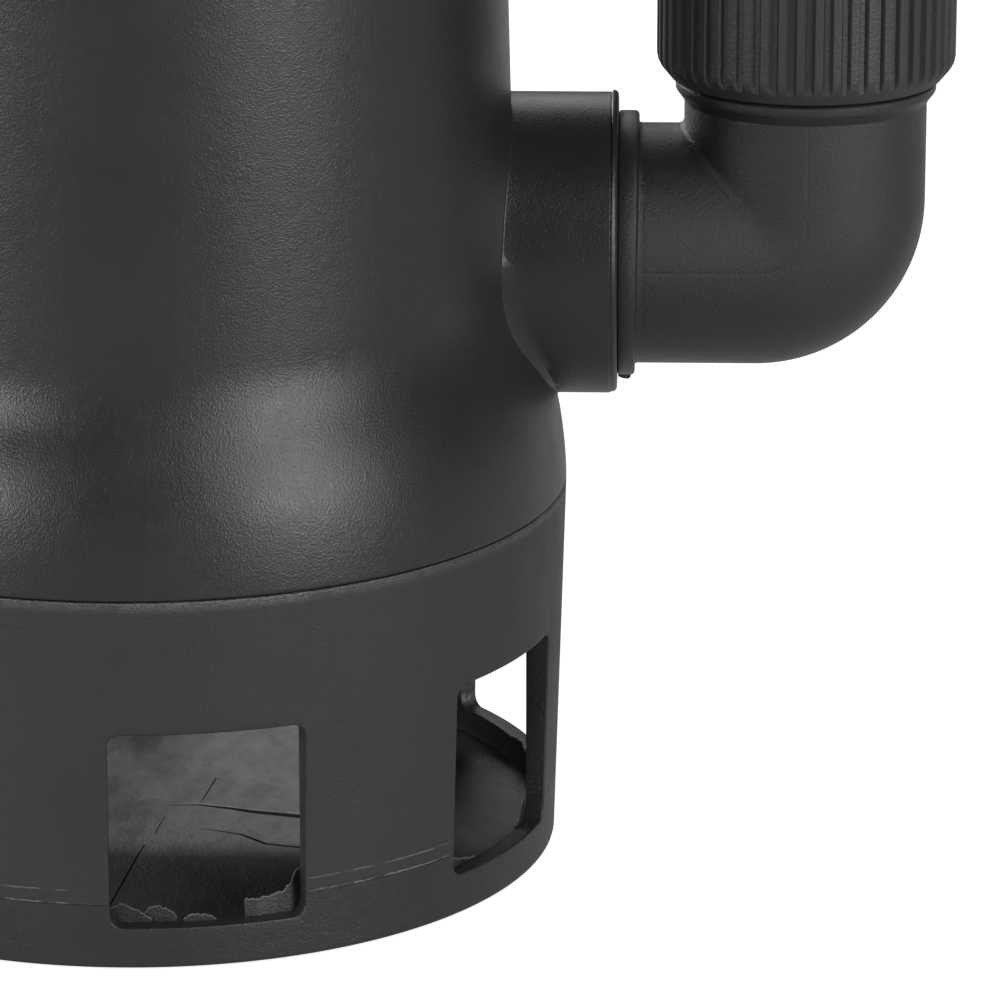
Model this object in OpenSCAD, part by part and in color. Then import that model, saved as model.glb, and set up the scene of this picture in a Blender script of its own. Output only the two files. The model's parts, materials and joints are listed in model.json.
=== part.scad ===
// Submersible sump pump: flared base with intake windows, side outlet with a
// turning elbow, union nut and stepped hose adapter, sealed motor in a water jacket.
// Origin: where the pump axis meets the floor. +Z is up, +X points along the outlet.

/* [Base and intake] */
// Outer radius of the pedestal where the housing stands on it
seam_r = 80; // [79:0.5:82]
// Height of the seam between pedestal and housing
seam_z = 70.7; // [69:0.1:72]
// Outer radius at the top edge of the base plate
plate_r = 78.16; // [77:0.02:79]
// Height of the top edge of the base plate
plate_z = 12.3; // [11.5:0.1:13.5]
// Thickness of the pedestal wall
pedestal_wall = 5.6; // [5:0.1:6]
// Number of intake windows
window_count = 7; // [7:1:7]
// Direction of the first window, from the outlet
window_angle = 25.03; // [24:0.01:26]
// Half width of a window at the outer surface
window_half_w = 18.3; // [15:0.1:19]
// Height of the lower edge of the windows
window_z0 = 7.8; // [6.5:0.1:9]
// Height of the upper edge of the windows
window_z1 = 45.3; // [40:0.1:46]
// Corner radius of a window
window_corner = 2.5; // [1:0.1:4]
// Angle that each side of a window leans towards the pump axis
window_lean = 8; // [0:0.5:12]

/* [Housing] */
// Thickness of the housing wall
housing_wall = 3.5; // [3:0.1:4]
// Height of the top edge of the housing
housing_top = 236; // [232:1:240]
// Outer radius of the housing just above the shoulder
neck_r = 70.2; // [69.8:0.1:70.6]
// Height where the shoulder meets the straight wall
neck_z = 111; // [110:0.5:112]
// Draft angle of the straight wall
draft = 1.42; // [1:0.02:1.6]

/* [Outlet] */
// Height of the outlet axis
outlet_z = 113.4; // [112:0.1:116]
// Sideways offset of the outlet axis from the pump axis
outlet_y = 12.4; // [11:0.1:13]
// Outer radius of the outlet boss
boss_r = 28.7; // [27.5:0.1:29]
// Distance from the pump axis to the end of the boss
boss_x = 89.4; // [87:0.1:92]
// Outer radius of the elbow tube
elbow_r = 22.9; // [22:0.1:23]
// Radius of the water way through the elbow
elbow_bore_r = 18; // [16:0.5:18.5]
// Distance from the pump axis to the vertical leg
leg_x = 124.6; // [122:0.1:128]
// Bend radius of the tube's centre line
bend_r = 9; // [5:0.5:10]
// Radius of the spigot that turns in the boss
spigot_r = 20.95; // [20.5:0.05:21.5]
// Radial clearance of the spigot
spigot_gap = 0.06; // [0.02:0.01:0.1]

/* [Union nut and hose adapter] */
// Outer radius of the thread under the nut
thread_r = 23.9; // [23.5:0.05:24.1]
// Radial clearance of the nut on the thread
thread_gap = 0.08; // [0.03:0.01:0.1]
// Radius over the grip ribs of the nut
nut_r = 28.2; // [27.5:0.1:29]
// Number of grip ribs
rib_count = 52; // [40:1:60]
// Height of a grip rib over its groove
rib_depth = 0.9; // [0.5:0.1:1.2]
// Radii of the three hose steps, lowest first
step_r = [19, 16, 12.7]; // [10:0.1:22]
// Height of one hose step
step_h = 22; // [18:1:26]

/* [Motor] */
// Outer radius of the motor can
can_r = 49; // [48:0.5:50]
// Wall thickness of the motor can
can_wall = 1.5; // [1.2:0.1:2]
// Height of the stator stack
stack_h = 58; // [40:1:60]
// Radius of the rotor stack
rotor_r = 24.8; // [24:0.1:25]
// Air gap between rotor and stator
air_gap = 0.35; // [0.3:0.05:0.5]
// Number of stator slots
slot_count = 24; // [12:1:24]
// Shaft radius at the bearings
shaft_r = 6; // [6:1:6]
// Number of balls in a bearing
ball_count = 7; // [6:1:7]
// Radius of a bearing ball
ball_r = 3; // [2.8:0.1:3]

/* [Impeller] */
// Outer radius of the impeller
impeller_r = 47; // [42:1:48]
// Number of impeller blades
blade_count = 8; // [6:1:8]
// Radius of the suction eye
eye_r = 21; // [18:0.5:22]

/* [Top and handle] */
// Outer radius of the top cover
cover_r = 69.6; // [69.4:0.1:71]
// Height of the crown of the top cover
cover_top = 283; // [280:1:288]
// Height of the top of the handle
handle_top = 334; // [325:1:345]
// Distance from the pump axis to the middle of a handle leg
handle_x = 50; // [46:1:52]
// Width of the handle across the grip
handle_w = 21; // [18:1:26]
// Radius of the cable that a gland takes
cable_r = 4; // [3.5:0.1:4.2]

/* [Hidden] */
$fn = 96;

// Colours of the real materials
black_plastic = "#2b2b2c";
grip_plastic = "#303132";
steel = "#b4b6b8";
rubber = "#1c1c1d";
copper = "#b06a3a";

// Radius of every screw's shank and hole
screw_r = 1.7;
// Base
floor_z = 2.6;
pedestal_in_r = seam_r - pedestal_wall;
window_u = 78;
window_pitch = 360 / window_count;
bar_angle = window_angle - window_pitch / 2;
// Bars that carry a screw post, counted from the bar beside the outlet
post_bars = [1, 3, 5, 6];
post_r = 66;
post_out_r = 5;
post_pad_z = 6;
spigot_out_r = 76.2;
spigot_top = 77;
snap_bead = 0.6;
snap_z = 73.5;
snap_h = 1.6;
// Suction plate and diffuser
suction_z = 48;
suction_h = 3.5;
ledge_in_r = 71.5;
suction_screw_r = 64;
suction_screw_count = 3;
collar_drop = 5;
diffuser_r = 74;
diffuser_top = 86;
guide_in_r = can_r + 0.2;
guide_wall = 2.8;
guide_z0 = 80;
guide_z1 = 92;
guide_vanes = 8;
// Housing
flange_seat_z = 221;
flange_seat_h = 5;
flange_seat_in_r = can_r + 1;
seal_groove_r = [52, 54.5];
seal_groove_h = 2.4;
boss_in_x = 50;
boss_round = 1.2;
snap_ring_x = 83;
snap_ring_w = 1.6;
snap_ring_depth = 0.6;
housing_post_r = 59.5;
can_screw_r = 59.5;
rim_seal_r = [64.6, 66.4];
rim_seal_h = 1.2;
cover_screw_angle = 45;
// Motor stack heights, from the can's bottom up
can_z = 84;
can_floor = 4;
can_top = 224;
can_in_r = can_r - can_wall;
flange_r = 63;
seat_bore_r = 13.4;
seal_face_z = can_z + can_floor;
oil_cover_z = 104;
lip_h = 5;
lower_bearing_z = 110;
bearing_h = 10;
bearing_r = 16;
race_gap = 1.8;
ball_track_r = 11;
ball_gap = 0.05;
stack_z = 128;
end_ring_h = 4;
winding_h = 12;
upper_bearing_z = 204;
upper_bracket_z = 213;
lower_bracket_z = 108.5;
stator_bolt_shank_r = 2;
bracket_h = 4;
stator_bolt_r = 44.5;
rotor_seat_r = 7.5;
// Capacitor over the upper bracket, lying along +X
capacitor_r = 16;
capacitor_l = 50;
capacitor_x = -27;
capacitor_y = -14;
capacitor_z = 239;
clip_w = 12;
terminal_pitch = 10;
// Impeller on the shaft
impeller_z = 64;
disc_z = 76;
disc_h = 3;
blade_z = 60;
blade_t = 3.2;
impeller_hub_r = 11;
shaft_end_r = 4;
// Elbow, heights over the floor and distances from the pump axis
collar_r = 25.2;
collar_x = boss_x + 3.8;
collar_gap = 0.1;
spigot_in_x = 64;
bend_x = leg_x - bend_r;
bend_z = outlet_z + bend_r;
ring_z = 143.8;
ring_r = 24.6;
thread_z = 145.9;
thread_top = 163;
gasket_h = 2;
elbow_groove = 1.4;
elbow_groove_x = 75;
elbow_groove_w = 4;
adapter_z = thread_top + gasket_h;
adapter_collar_h = 4;
neck_out_r = 20;
nut_z = 146.3;
nut_top = 173.5;
flange_gap = 0.3;
steps_z = 177;
tail_bore_r = 9.5;
step_plain = 11;
barb_depth = 0.9;
// Top
cover_skirt_z = 229;
cover_wall = 3;
cover_round = 34;
crown_tilt = 75;
gland_x = 17;
gland_y = 40;
gland_z = 281;
handle_foot_z = 271;
handle_foot_h = 5;
handle_foot_l = 18;
handle_foot_w = 40;
handle_screw_y = 15;
handle_t = 15;
handle_round = 24;
rope_eye_r = 4;
rope_eye_z = 294;
grip_round = 6;
cover_screw_z = 256;

// Points of an arc about (cx, cz), from angle a0 to a1
function arc(cx, cz, r, a0, a1, n = 8) =
    [for (i = [0:n]) let (a = a0 + (a1 - a0) * i / n) [cx + r * cos(a), cz + r * sin(a)]];

// Radius of the pedestal and base plate outside at height z
function foot_r(z) = plate_r + (seam_r - plate_r) * (z - plate_z) / (seam_z - plate_z);

// Radius of the straight housing wall outside at height z
function wall_r(z) = neck_r - (z - neck_z) * tan(draft);

// Shoulder from the seam to the neck: a slack arc, a rounder arc, then a hollow one
shoulder_tilt = [1.5, 9.5, 29, draft];
shoulder_z = [seam_z, 83, 98, neck_z];
shoulder_bend = [for (i = [0:2])
    (shoulder_z[i + 1] - shoulder_z[i]) / (sin(shoulder_tilt[i + 1]) - sin(shoulder_tilt[i]))];
shoulder_drop = [for (i = [0:2])
    shoulder_bend[i] * (cos(shoulder_tilt[i]) - cos(shoulder_tilt[i + 1]))];
shoulder_fit = (seam_r - neck_r) / (shoulder_drop[0] + shoulder_drop[1] + shoulder_drop[2]);
shoulder_r = [seam_r, seam_r - shoulder_fit * shoulder_drop[0],
    seam_r - shoulder_fit * (shoulder_drop[0] + shoulder_drop[1])];
shoulder = [for (i = [0:2], k = [0:(i == 2 ? 8 : 7)])
    let (a = shoulder_tilt[i] + (shoulder_tilt[i + 1] - shoulder_tilt[i]) * k / 8)
    [shoulder_r[i] - shoulder_fit * shoulder_bend[i] * (cos(shoulder_tilt[i]) - cos(a)),
     shoulder_z[i] + shoulder_bend[i] * (sin(a) - sin(shoulder_tilt[i]))]];

module lathe(points) rotate_extrude() polygon(points);

module tube(r_out, r_in, z0, z1) translate([0, 0, z0]) difference() {
    cylinder(r = r_out, h = z1 - z0);
    translate([0, 0, -1]) cylinder(r = r_in, h = z1 - z0 + 2);
}

module disc(r, z0, z1) translate([0, 0, z0]) cylinder(r = r, h = z1 - z0);

module screw_hole(z0, z1) translate([0, 0, z0]) cylinder(r = screw_r, h = z1 - z0, $fn = 32);

// A cylinder about the outlet axis, along +X
module pipe(r, x0, x1) translate([x0, outlet_y, outlet_z]) rotate([0, 90, 0]) cylinder(r = r, h = x1 - x0);

// Copies on a circle
module around(count, r, start = 0)
    for (i = [0:count - 1]) rotate([0, 0, start + i * 360 / count]) translate([r, 0, 0]) children();

// Copies at the bars that carry a post
module at_posts()
    for (i = post_bars) rotate([0, 0, bar_angle + i * window_pitch]) translate([post_r, 0, 0]) children();

// A slab in plan, narrowed towards the axis, between two heights
module wedge_slab(inset, z0, z1) {
    u0 = 64;
    u1 = 86;
    w0 = window_half_w + (u0 - window_u) * tan(window_lean) - inset;
    w1 = window_half_w + (u1 - window_u) * tan(window_lean) - inset;
    translate([0, 0, z0]) linear_extrude(z1 - z0)
        polygon([[u0, -w0], [u1, -w1], [u1, w1], [u0, w0]]);
}

// The cut for one window, with round corners
module window_cut() {
    inset = window_corner / cos(window_lean);
    u0 = 64;
    wedge_slab(inset, window_z0, window_z1);
    wedge_slab(0, window_z0 + window_corner, window_z1 - window_corner);
    for (side = [-1, 1], z = [window_z0 + window_corner, window_z1 - window_corner])
        translate([u0, side * (window_half_w + (u0 - window_u) * tan(window_lean) - inset), z])
            rotate([0, 0, side * window_lean]) rotate([0, 90, 0])
                cylinder(r = window_corner, h = 22, $fn = 32);
}

module windows() around(window_count, 0, window_angle) window_cut();

// A countersunk screw that stands head down at the origin, shank up
module screw(head_r, head_h, length) difference() {
    union() {
        cylinder(r1 = head_r * 0.85, r2 = head_r, h = head_h, $fn = 32);
        cylinder(r = screw_r, h = length, $fn = 32);
    }
    for (turn = [0, 90]) rotate([0, 0, turn])
        translate([-head_r * 0.55, -head_r * 0.12, -1])
            cube([head_r * 1.1, head_r * 0.24, 1 + head_h * 0.6]);
}

module base_plate() color(black_plastic) difference() {
    union() {
        lathe([[0, 0], [77.2, 0], [foot_r(0.6), 0.6], [plate_r, plate_z],
            [pedestal_in_r, plate_z], [pedestal_in_r, floor_z], [0, floor_z]]);
        at_posts() cylinder(r = 7, h = post_pad_z);
    }
    windows();
    at_posts() screw_hole(-1, 19);
    at_posts() translate([0, 0, -1]) cylinder(r = 4.4, h = 4);
}

module pedestal() color(black_plastic) union() {
    difference() {
        lathe([[pedestal_in_r, plate_z], [plate_r, plate_z], [seam_r, seam_z],
            [spigot_out_r, seam_z], [spigot_out_r, snap_z], [spigot_out_r + snap_bead, snap_z + 0.4],
            [spigot_out_r + snap_bead, snap_z + snap_h - 0.4], [spigot_out_r, snap_z + snap_h],
            [spigot_out_r, spigot_top], [pedestal_in_r, spigot_top], [pedestal_in_r, suction_z],
            [ledge_in_r, suction_z], [ledge_in_r, suction_z - 1.8], [pedestal_in_r, suction_z - 1.8]]);
        windows();
    }
    difference() {
        at_posts() union() {
            translate([0, 0, post_pad_z]) cylinder(r = post_out_r, h = suction_z - post_pad_z);
            translate([0, -2, plate_z]) cube([pedestal_in_r - post_r + 2, 4, suction_z - plate_z - 1]);
        }
        at_posts() screw_hole(0, 32);
    }
}

module suction_plate() color(black_plastic) difference() {
    lathe([[eye_r, suction_z - collar_drop + 2], [eye_r + 1.5, suction_z - collar_drop],
        [eye_r + 3.5, suction_z - collar_drop], [eye_r + 5, suction_z],
        [pedestal_in_r - 0.1, suction_z], [pedestal_in_r - 0.1, suction_z + suction_h],
        [eye_r + 1.5, suction_z + suction_h], [eye_r, suction_z + suction_h - 1]]);
    around(suction_screw_count, suction_screw_r) screw_hole(suction_z - 1, suction_z + suction_h + 1);
}

module guide_vane() translate([guide_in_r + 1, -1.2, guide_z0])
    cube([diffuser_r - guide_in_r - 2, 2.4, diffuser_top - guide_z0]);

module diffuser() color(black_plastic) difference() {
    union() {
        tube(diffuser_r, diffuser_r - 2, suction_z + suction_h, diffuser_top);
        tube(guide_in_r + guide_wall, guide_in_r, guide_z0, guide_z1);
        tube(guide_in_r + 1, guide_in_r - 3.2, guide_z0, can_z);
        around(guide_vanes, 0, 22.5) guide_vane();
        around(suction_screw_count, suction_screw_r) {
            translate([0, 0, suction_z + suction_h]) cylinder(r = 4.5, h = 12, $fn = 32);
            translate([0, -1.5, suction_z + suction_h]) cube([diffuser_r - suction_screw_r - 1, 3, 12]);
        }
    }
    around(suction_screw_count, suction_screw_r) screw_hole(suction_z, suction_z + 14);
}

// Housing shell: the outside is the shoulder and the straight wall
module housing_shell() {
    seam_in_r = spigot_out_r + 0.2;
    inner_shoulder = [for (p = shoulder) if (p[1] > 84) [p[0] - housing_wall - 0.3, p[1]]];
    lathe(concat(
        [[seam_in_r, seam_z], [seam_r, seam_z]], [for (p = shoulder) if (p[1] > seam_z + 1) p],
        [[wall_r(housing_top), housing_top], [wall_r(housing_top) - housing_wall, housing_top],
         [wall_r(flange_seat_z) - housing_wall, flange_seat_z], [flange_seat_in_r, flange_seat_z],
         [flange_seat_in_r, flange_seat_z - flange_seat_h],
         [wall_r(flange_seat_z - flange_seat_h - 3) - housing_wall, flange_seat_z - flange_seat_h - 3]],
        [for (i = [len(inner_shoulder) - 1:-1:0]) inner_shoulder[i]],
        [[seam_in_r, 82], [seam_in_r, snap_z + snap_h + 0.1], [seam_in_r + snap_bead, snap_z + snap_h],
         [seam_in_r + snap_bead, snap_z - 0.1], [seam_in_r, snap_z - 0.4]]));
}

// Outlet boss, solid, from the middle of the housing wall outwards
module outlet_boss() difference() {
    union() {
        pipe(boss_r, boss_in_x, boss_x - boss_round);
        translate([boss_x - boss_round, outlet_y, outlet_z]) rotate([0, 90, 0])
            lathe(concat([[0, 0]], arc(boss_r - boss_round, 0, boss_round, 0, 90), [[0, boss_round]]));
    }
    lathe(concat([[0, seam_z]], [for (p = shoulder) [p[0] - housing_wall / 2, p[1]]],
        [[wall_r(outlet_z + 40) - housing_wall / 2, outlet_z + 40], [0, outlet_z + 40]]));
}

// Bore for the spigot, with the ring that snaps into its groove
module boss_bore() {
    bore_r = spigot_r + spigot_gap;
    pipe(bore_r, boss_in_x, snap_ring_x);
    pipe(bore_r - snap_ring_depth, boss_in_x, boss_x + 1);
    pipe(bore_r, snap_ring_x + snap_ring_w, boss_x + 1);
}

module outer_housing() color(black_plastic) difference() {
    union() {
        difference() {
            union() {
                housing_shell();
                outlet_boss();
            }
            boss_bore();
        }
        around(4, housing_post_r, cover_screw_angle) translate([0, 0, can_top + 0.2])
            cylinder(r = 5, h = housing_top - can_top - 0.2, $fn = 32);
    }
    around(4, housing_post_r, cover_screw_angle) screw_hole(can_top - 1, housing_top + 1);
    around(4, can_screw_r) screw_hole(flange_seat_z - 12, flange_seat_z + 1);
    tube(seal_groove_r[1], seal_groove_r[0], flange_seat_z - seal_groove_h, flange_seat_z + 1);
    tube(rim_seal_r[1], rim_seal_r[0], housing_top - rim_seal_h, housing_top + 1);
}

module motor_can() color(steel) difference() {
    lathe([[seat_bore_r, can_z], [can_r, can_z], [can_r, flange_seat_z], [flange_r, flange_seat_z],
        [flange_r, can_top], [can_in_r, can_top], [can_in_r, can_z + can_floor],
        [seat_bore_r, can_z + can_floor]]);
    around(4, can_screw_r) screw_hole(flange_seat_z - 1, can_top + 1);
    around(4, housing_post_r, cover_screw_angle) translate([0, 0, can_top - 1])
        cylinder(r = post_out_r + 0.2, h = 2, $fn = 32);
}

module can_seal() color(rubber)
    tube(seal_groove_r[1], seal_groove_r[0], flange_seat_z - seal_groove_h, flange_seat_z);

module oil_chamber_cover() color(steel) union() {
    tube(can_in_r - 0.1, 12, oil_cover_z, oil_cover_z + 3);
    tube(15, 12, oil_cover_z, oil_cover_z + lip_h);
}

module lip_seal() color(rubber)
    lathe([[shaft_r + 0.06, oil_cover_z + 2], [7, oil_cover_z], [12, oil_cover_z],
        [12, oil_cover_z + lip_h], [8, oil_cover_z + lip_h], [8, oil_cover_z + 3],
        [shaft_r + 0.06, oil_cover_z + 2.6]]);

module seal_seat() color("#d9d6cc")
    lathe([[7, can_z - 2], [12, can_z - 2], [13.4, can_z], [13.4, seal_face_z],
        [11.5, seal_face_z + 0.9], [7, seal_face_z + 0.9]]);

module bearing_pocket(z, h) tube(bearing_r + 4, bearing_r, z, z + h);

// Hole for a stator bolt through a bracket that stands at height z
module bolt_hole(z) translate([0, 0, z - 1])
    cylinder(r = stator_bolt_shank_r, h = bracket_h + 2, $fn = 32);

module lower_bearing_bracket() color(steel) difference() {
    union() {
        bearing_pocket(lower_bracket_z, 12);
        tube(can_in_r - 0.1, bearing_r + 3, lower_bracket_z, lower_bracket_z + bracket_h);
    }
    around(4, stator_bolt_r, 30) bolt_hole(lower_bracket_z);
    around(6, 33) translate([0, 0, lower_bracket_z - 1]) cylinder(r = 6, h = 8, $fn = 32);
}

module upper_bearing_bracket() color(steel) difference() {
    union() {
        bearing_pocket(upper_bearing_z - 1, 14);
        tube(can_in_r - 0.1, bearing_r + 3, upper_bracket_z, upper_bracket_z + bracket_h);
    }
    around(4, stator_bolt_r, 30) bolt_hole(upper_bracket_z);
    around(6, 33) translate([0, 0, upper_bracket_z - 1]) cylinder(r = 5, h = 8, $fn = 32);
}

// Bearing rings with a ball track, standing at height z
module track(z) translate([0, 0, z + bearing_h / 2])
    rotate_extrude() translate([ball_track_r, 0]) circle(r = ball_r + ball_gap, $fn = 48);

module outer_ring(z) color(steel) difference() {
    tube(bearing_r, ball_track_r + race_gap, z, z + bearing_h);
    track(z);
}

module inner_ring(z) color(steel) difference() {
    tube(ball_track_r - race_gap, shaft_r, z, z + bearing_h);
    track(z);
}

module balls(z) color(steel) around(ball_count, ball_track_r)
    translate([0, 0, z + bearing_h / 2]) sphere(r = ball_r, $fn = 32);

module cage(z) color("#a88a4a") difference() {
    tube(ball_track_r + 1.2, ball_track_r - 1.2, z + 1, z + bearing_h - 1);
    around(ball_count, ball_track_r) translate([0, 0, z + bearing_h / 2])
        sphere(r = ball_r + ball_gap, $fn = 32);
}

module stator_core() color(steel) translate([0, 0, stack_z]) linear_extrude(stack_h) difference() {
    circle(r = can_in_r - 0.1);
    circle(r = rotor_r + air_gap);
    for (i = [0:slot_count - 1]) rotate(i * 360 / slot_count) {
        translate([34, 0]) square([11, 4.4], center = true);
        translate([27, 0]) square([8, 1.6], center = true);
    }
    for (i = [0:3]) rotate(30 + i * 90) translate([stator_bolt_r, 0])
        circle(r = stator_bolt_shank_r, $fn = 32);
}

module end_winding(z) rotate_extrude() translate([34.2, z + winding_h / 2]) {
    square([10.4, winding_h - 6], center = true);
    square([4.4, winding_h], center = true);
    for (sx = [-1, 1], sz = [-1, 1]) translate([sx * 2.2, sz * (winding_h / 2 - 3)]) circle(r = 3, $fn = 32);
}

module stator_winding() color(copper) union() {
    end_winding(stack_z - winding_h);
    end_winding(stack_z + stack_h);
    around(slot_count, 34) translate([-5.3, -2, stack_z - 3]) cube([10.6, 4, stack_h + 6]);
}

module stator_bolts() color(steel) around(4, stator_bolt_r, 30) {
    translate([0, 0, lower_bracket_z])
        cylinder(r = stator_bolt_shank_r, h = upper_bracket_z + bracket_h - lower_bracket_z, $fn = 32);
    translate([0, 0, upper_bracket_z + bracket_h]) difference() {
        cylinder(r = 2.9, h = 2.6, $fn = 32);
        translate([0, 0, 1.2]) cylinder(r = 1.5, h = 3, $fn = 6);
    }
}

module capacitor() color("#c9cbcc") translate([capacitor_x, capacitor_y, capacitor_z])
    rotate([0, 90, 0]) union() {
        cylinder(r = capacitor_r, h = capacitor_l);
        translate([0, 0, capacitor_l]) cylinder(r = capacitor_r - 1.5, h = 2);
        for (y = [-6, 6]) translate([-3, y - 0.4, capacitor_l + 1]) cube([6, 0.8, 9]);
    }

module capacitor_clip() color(steel) translate([0, capacitor_y, capacitor_z]) difference() {
    clip_r = capacitor_r + 1;
    drop = capacitor_z - upper_bracket_z - bracket_h;
    union() {
        rotate([0, 90, 0]) translate([0, 0, -clip_w / 2]) cylinder(r = clip_r, h = clip_w);
        translate([-clip_w / 2, -clip_r, -drop]) cube([clip_w, 2 * clip_r, drop]);
    }
    rotate([0, 90, 0]) cylinder(r = capacitor_r, h = clip_w + 2, center = true);
    translate([-clip_w / 2 - 1, -capacitor_r, -drop - 1])
        cube([clip_w + 2, 2 * capacitor_r, drop + 0.5]);
}

module thermal_protector() color("#6c5a42") translate([-14, 27, upper_bracket_z + bracket_h]) difference() {
    cube([24, 9, 7]);
    translate([2, -1, 5.5]) cube([20, 11, 3]);
}

module terminal_block() color("#dedede") translate([-4, 12, 228]) difference() {
    union() {
        for (i = [0:2]) translate([i * terminal_pitch - 14, 0, 0]) cube([8.6, 12, 11]);
        translate([-15, 1, 0]) cube([30.6, 10, 6]);
        translate([-3, 3, -11]) cube([6, 6, 12]);
    }
    for (i = [0:2]) translate([i * terminal_pitch - 9.7, 6, 7]) cylinder(r = 2.2, h = 6, $fn = 32);
}

// Outline of the top cover, moved inwards by t
crown_shift = (cover_r - cover_round) / cos(crown_tilt);
crown_z = cover_top - cover_round - crown_shift;
function cover_outline(t) = concat(
    [[cover_r - t, housing_top]],
    arc(cover_r - cover_round, crown_z + crown_shift * sin(crown_tilt), cover_round - t, 0, crown_tilt, 10),
    arc(0, crown_z, cover_round + crown_shift - t, crown_tilt + 2, 90, 6));

module crown(t) lathe(concat([[0, housing_top]], cover_outline(t)));

// A block with round corners in plan that stands on height z0
module pad(length, width, z0, z1, round_r = 4) translate([0, 0, z0]) linear_extrude(z1 - z0) {
    square([length - 2 * round_r, width], center = true);
    square([length, width - 2 * round_r], center = true);
    for (sx = [-1, 1], sy = [-1, 1])
        translate([sx * (length / 2 - round_r), sy * (width / 2 - round_r)]) circle(r = round_r, $fn = 32);
}

module at_handle_feet() for (side = [-1, 1]) translate([side * handle_x, 0, 0]) children();

module at_handle_screws() at_handle_feet() for (y = [-1, 1]) translate([0, y * handle_screw_y, 0]) children();

module at_glands() for (side = [-1, 1]) translate([side * gland_x, gland_y, 0]) children();

module top_cover() color(black_plastic) difference() {
    union() {
        difference() {
            union() {
                crown(0);
                tube(cover_r, wall_r(housing_top) + 0.25, cover_skirt_z, housing_top + 1);
            }
            difference() {
                translate([0, 0, -0.5]) crown(cover_wall);
                around(4, housing_post_r, cover_screw_angle)
                    translate([0, 0, housing_top - 1]) cylinder(r = 5, h = 50, $fn = 32);
                tube(cover_r, wall_r(housing_top) - housing_wall + 0.1, housing_top - 1, housing_top + 3);
            }
        }
        at_glands() translate([0, 0, gland_z - 24]) cylinder(r = 12.5, h = 24);
        intersection() {
            at_handle_feet() pad(handle_foot_l + 7, handle_foot_w + 7, handle_foot_z - 12, cover_top);
            crown(0);
        }
        at_handle_feet() pad(handle_foot_l + 2, handle_foot_w + 2, handle_foot_z - 12, handle_foot_z);
    }
    at_handle_feet() pad(handle_foot_l + 0.6, handle_foot_w + 0.6, handle_foot_z, cover_top + 1);
    around(4, housing_post_r, cover_screw_angle) {
        screw_hole(housing_top - 1, housing_top + 49);
        translate([0, 0, cover_screw_z]) cylinder(r = 4, h = 30, $fn = 32);
    }
    at_glands() translate([0, 0, gland_z - 30]) cylinder(r = 7, h = 40);
    at_handle_screws() screw_hole(handle_foot_z - 11, handle_foot_z + 1);
}

module cover_seal() color(rubber) tube(rim_seal_r[1], rim_seal_r[0], housing_top - rim_seal_h, housing_top);

// Bow of the handle seen from the front: two legs and a grip with round corners
module handle_outline(inset) {
    x = handle_x + handle_t / 2 - inset;
    z = handle_top - inset;
    r = handle_round - inset;
    translate([-x, handle_foot_z]) square([2 * x, z - r - handle_foot_z]);
    translate([-x + r, z - r - 1]) square([2 * (x - r), r + 1]);
    for (side = [-1, 1]) translate([side * (x - r), z - r]) circle(r = r);
}

module handle() color(grip_plastic) difference() {
    union() {
        intersection() {
            rotate([90, 0, 0]) translate([0, 0, -handle_w / 2]) linear_extrude(handle_w) difference() {
                handle_outline(0);
                translate([0, -1]) handle_outline(handle_t);
                translate([-handle_x + handle_t / 2, 200]) square([2 * handle_x - handle_t, 80]);
            }
            rotate([90, 0, 90]) translate([0, 0, -100]) linear_extrude(200) {
                translate([-handle_w / 2, 200]) square([handle_w, handle_top - grip_round - 200]);
                translate([-handle_w / 2 + grip_round, 200])
                    square([handle_w - 2 * grip_round, handle_top - 200]);
                for (side = [-1, 1]) translate([side * (handle_w / 2 - grip_round), handle_top - grip_round])
                    circle(r = grip_round, $fn = 48);
            }
        }
        at_handle_feet() pad(handle_foot_l, handle_foot_w, handle_foot_z, handle_foot_z + handle_foot_h);
    }
    at_handle_screws() screw_hole(handle_foot_z - 1, handle_foot_z + 11);
    translate([handle_x, 0, rope_eye_z]) rotate([90, 0, 0]) cylinder(r = rope_eye_r, h = 60, center = true);
}

// Gland: hexagon, domed nut and a bore for the cable
module gland(side) color(black_plastic) translate([side * gland_x, gland_y, gland_z]) difference() {
    union() {
        cylinder(r = 12, h = 5, $fn = 6);
        translate([0, 0, -6]) cylinder(r = 7, h = 8);
        translate([0, 0, 5]) cylinder(r = 9, h = 1.5);
        translate([0, 0, 6.5]) cylinder(r = 10.8, h = 8, $fn = 6);
        translate([0, 0, 14.5]) lathe(concat([[0, 0]], arc(3, 0, 6, 0, 60, 5), [[0, 5.2]]));
    }
    translate([0, 0, -7]) cylinder(r = cable_r + 0.2, h = 40);
    translate([0, 0, 4]) cylinder(r = cable_r + 2.5, h = 9);
}

module gland_grommets() color(rubber) at_glands()
    translate([0, 0, gland_z]) tube(cable_r + 2.5, cable_r + 0.2, 4, 13);

module base_screws() color(steel) at_posts() translate([0, 0, 0.5]) screw(4.2, 2.5, 28);

module suction_plate_screws() color(steel) around(suction_screw_count, suction_screw_r)
    translate([0, 0, suction_z - 2.4]) screw(3.8, 2.4, 16);

module can_screws() color(steel) around(4, can_screw_r)
    translate([0, 0, can_top + 2.4]) rotate([180, 0, 0]) screw(3, 2.4, 13);

module cover_screws() color(steel) around(4, housing_post_r, cover_screw_angle)
    translate([0, 0, cover_screw_z + 2.5]) rotate([180, 0, 0]) screw(3.6, 2.5, 32);

module handle_screws() color(steel) at_handle_screws()
    translate([0, 0, handle_foot_z + handle_foot_h + 2.4]) rotate([180, 0, 0]) screw(3.4, 2.4, 17);

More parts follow.
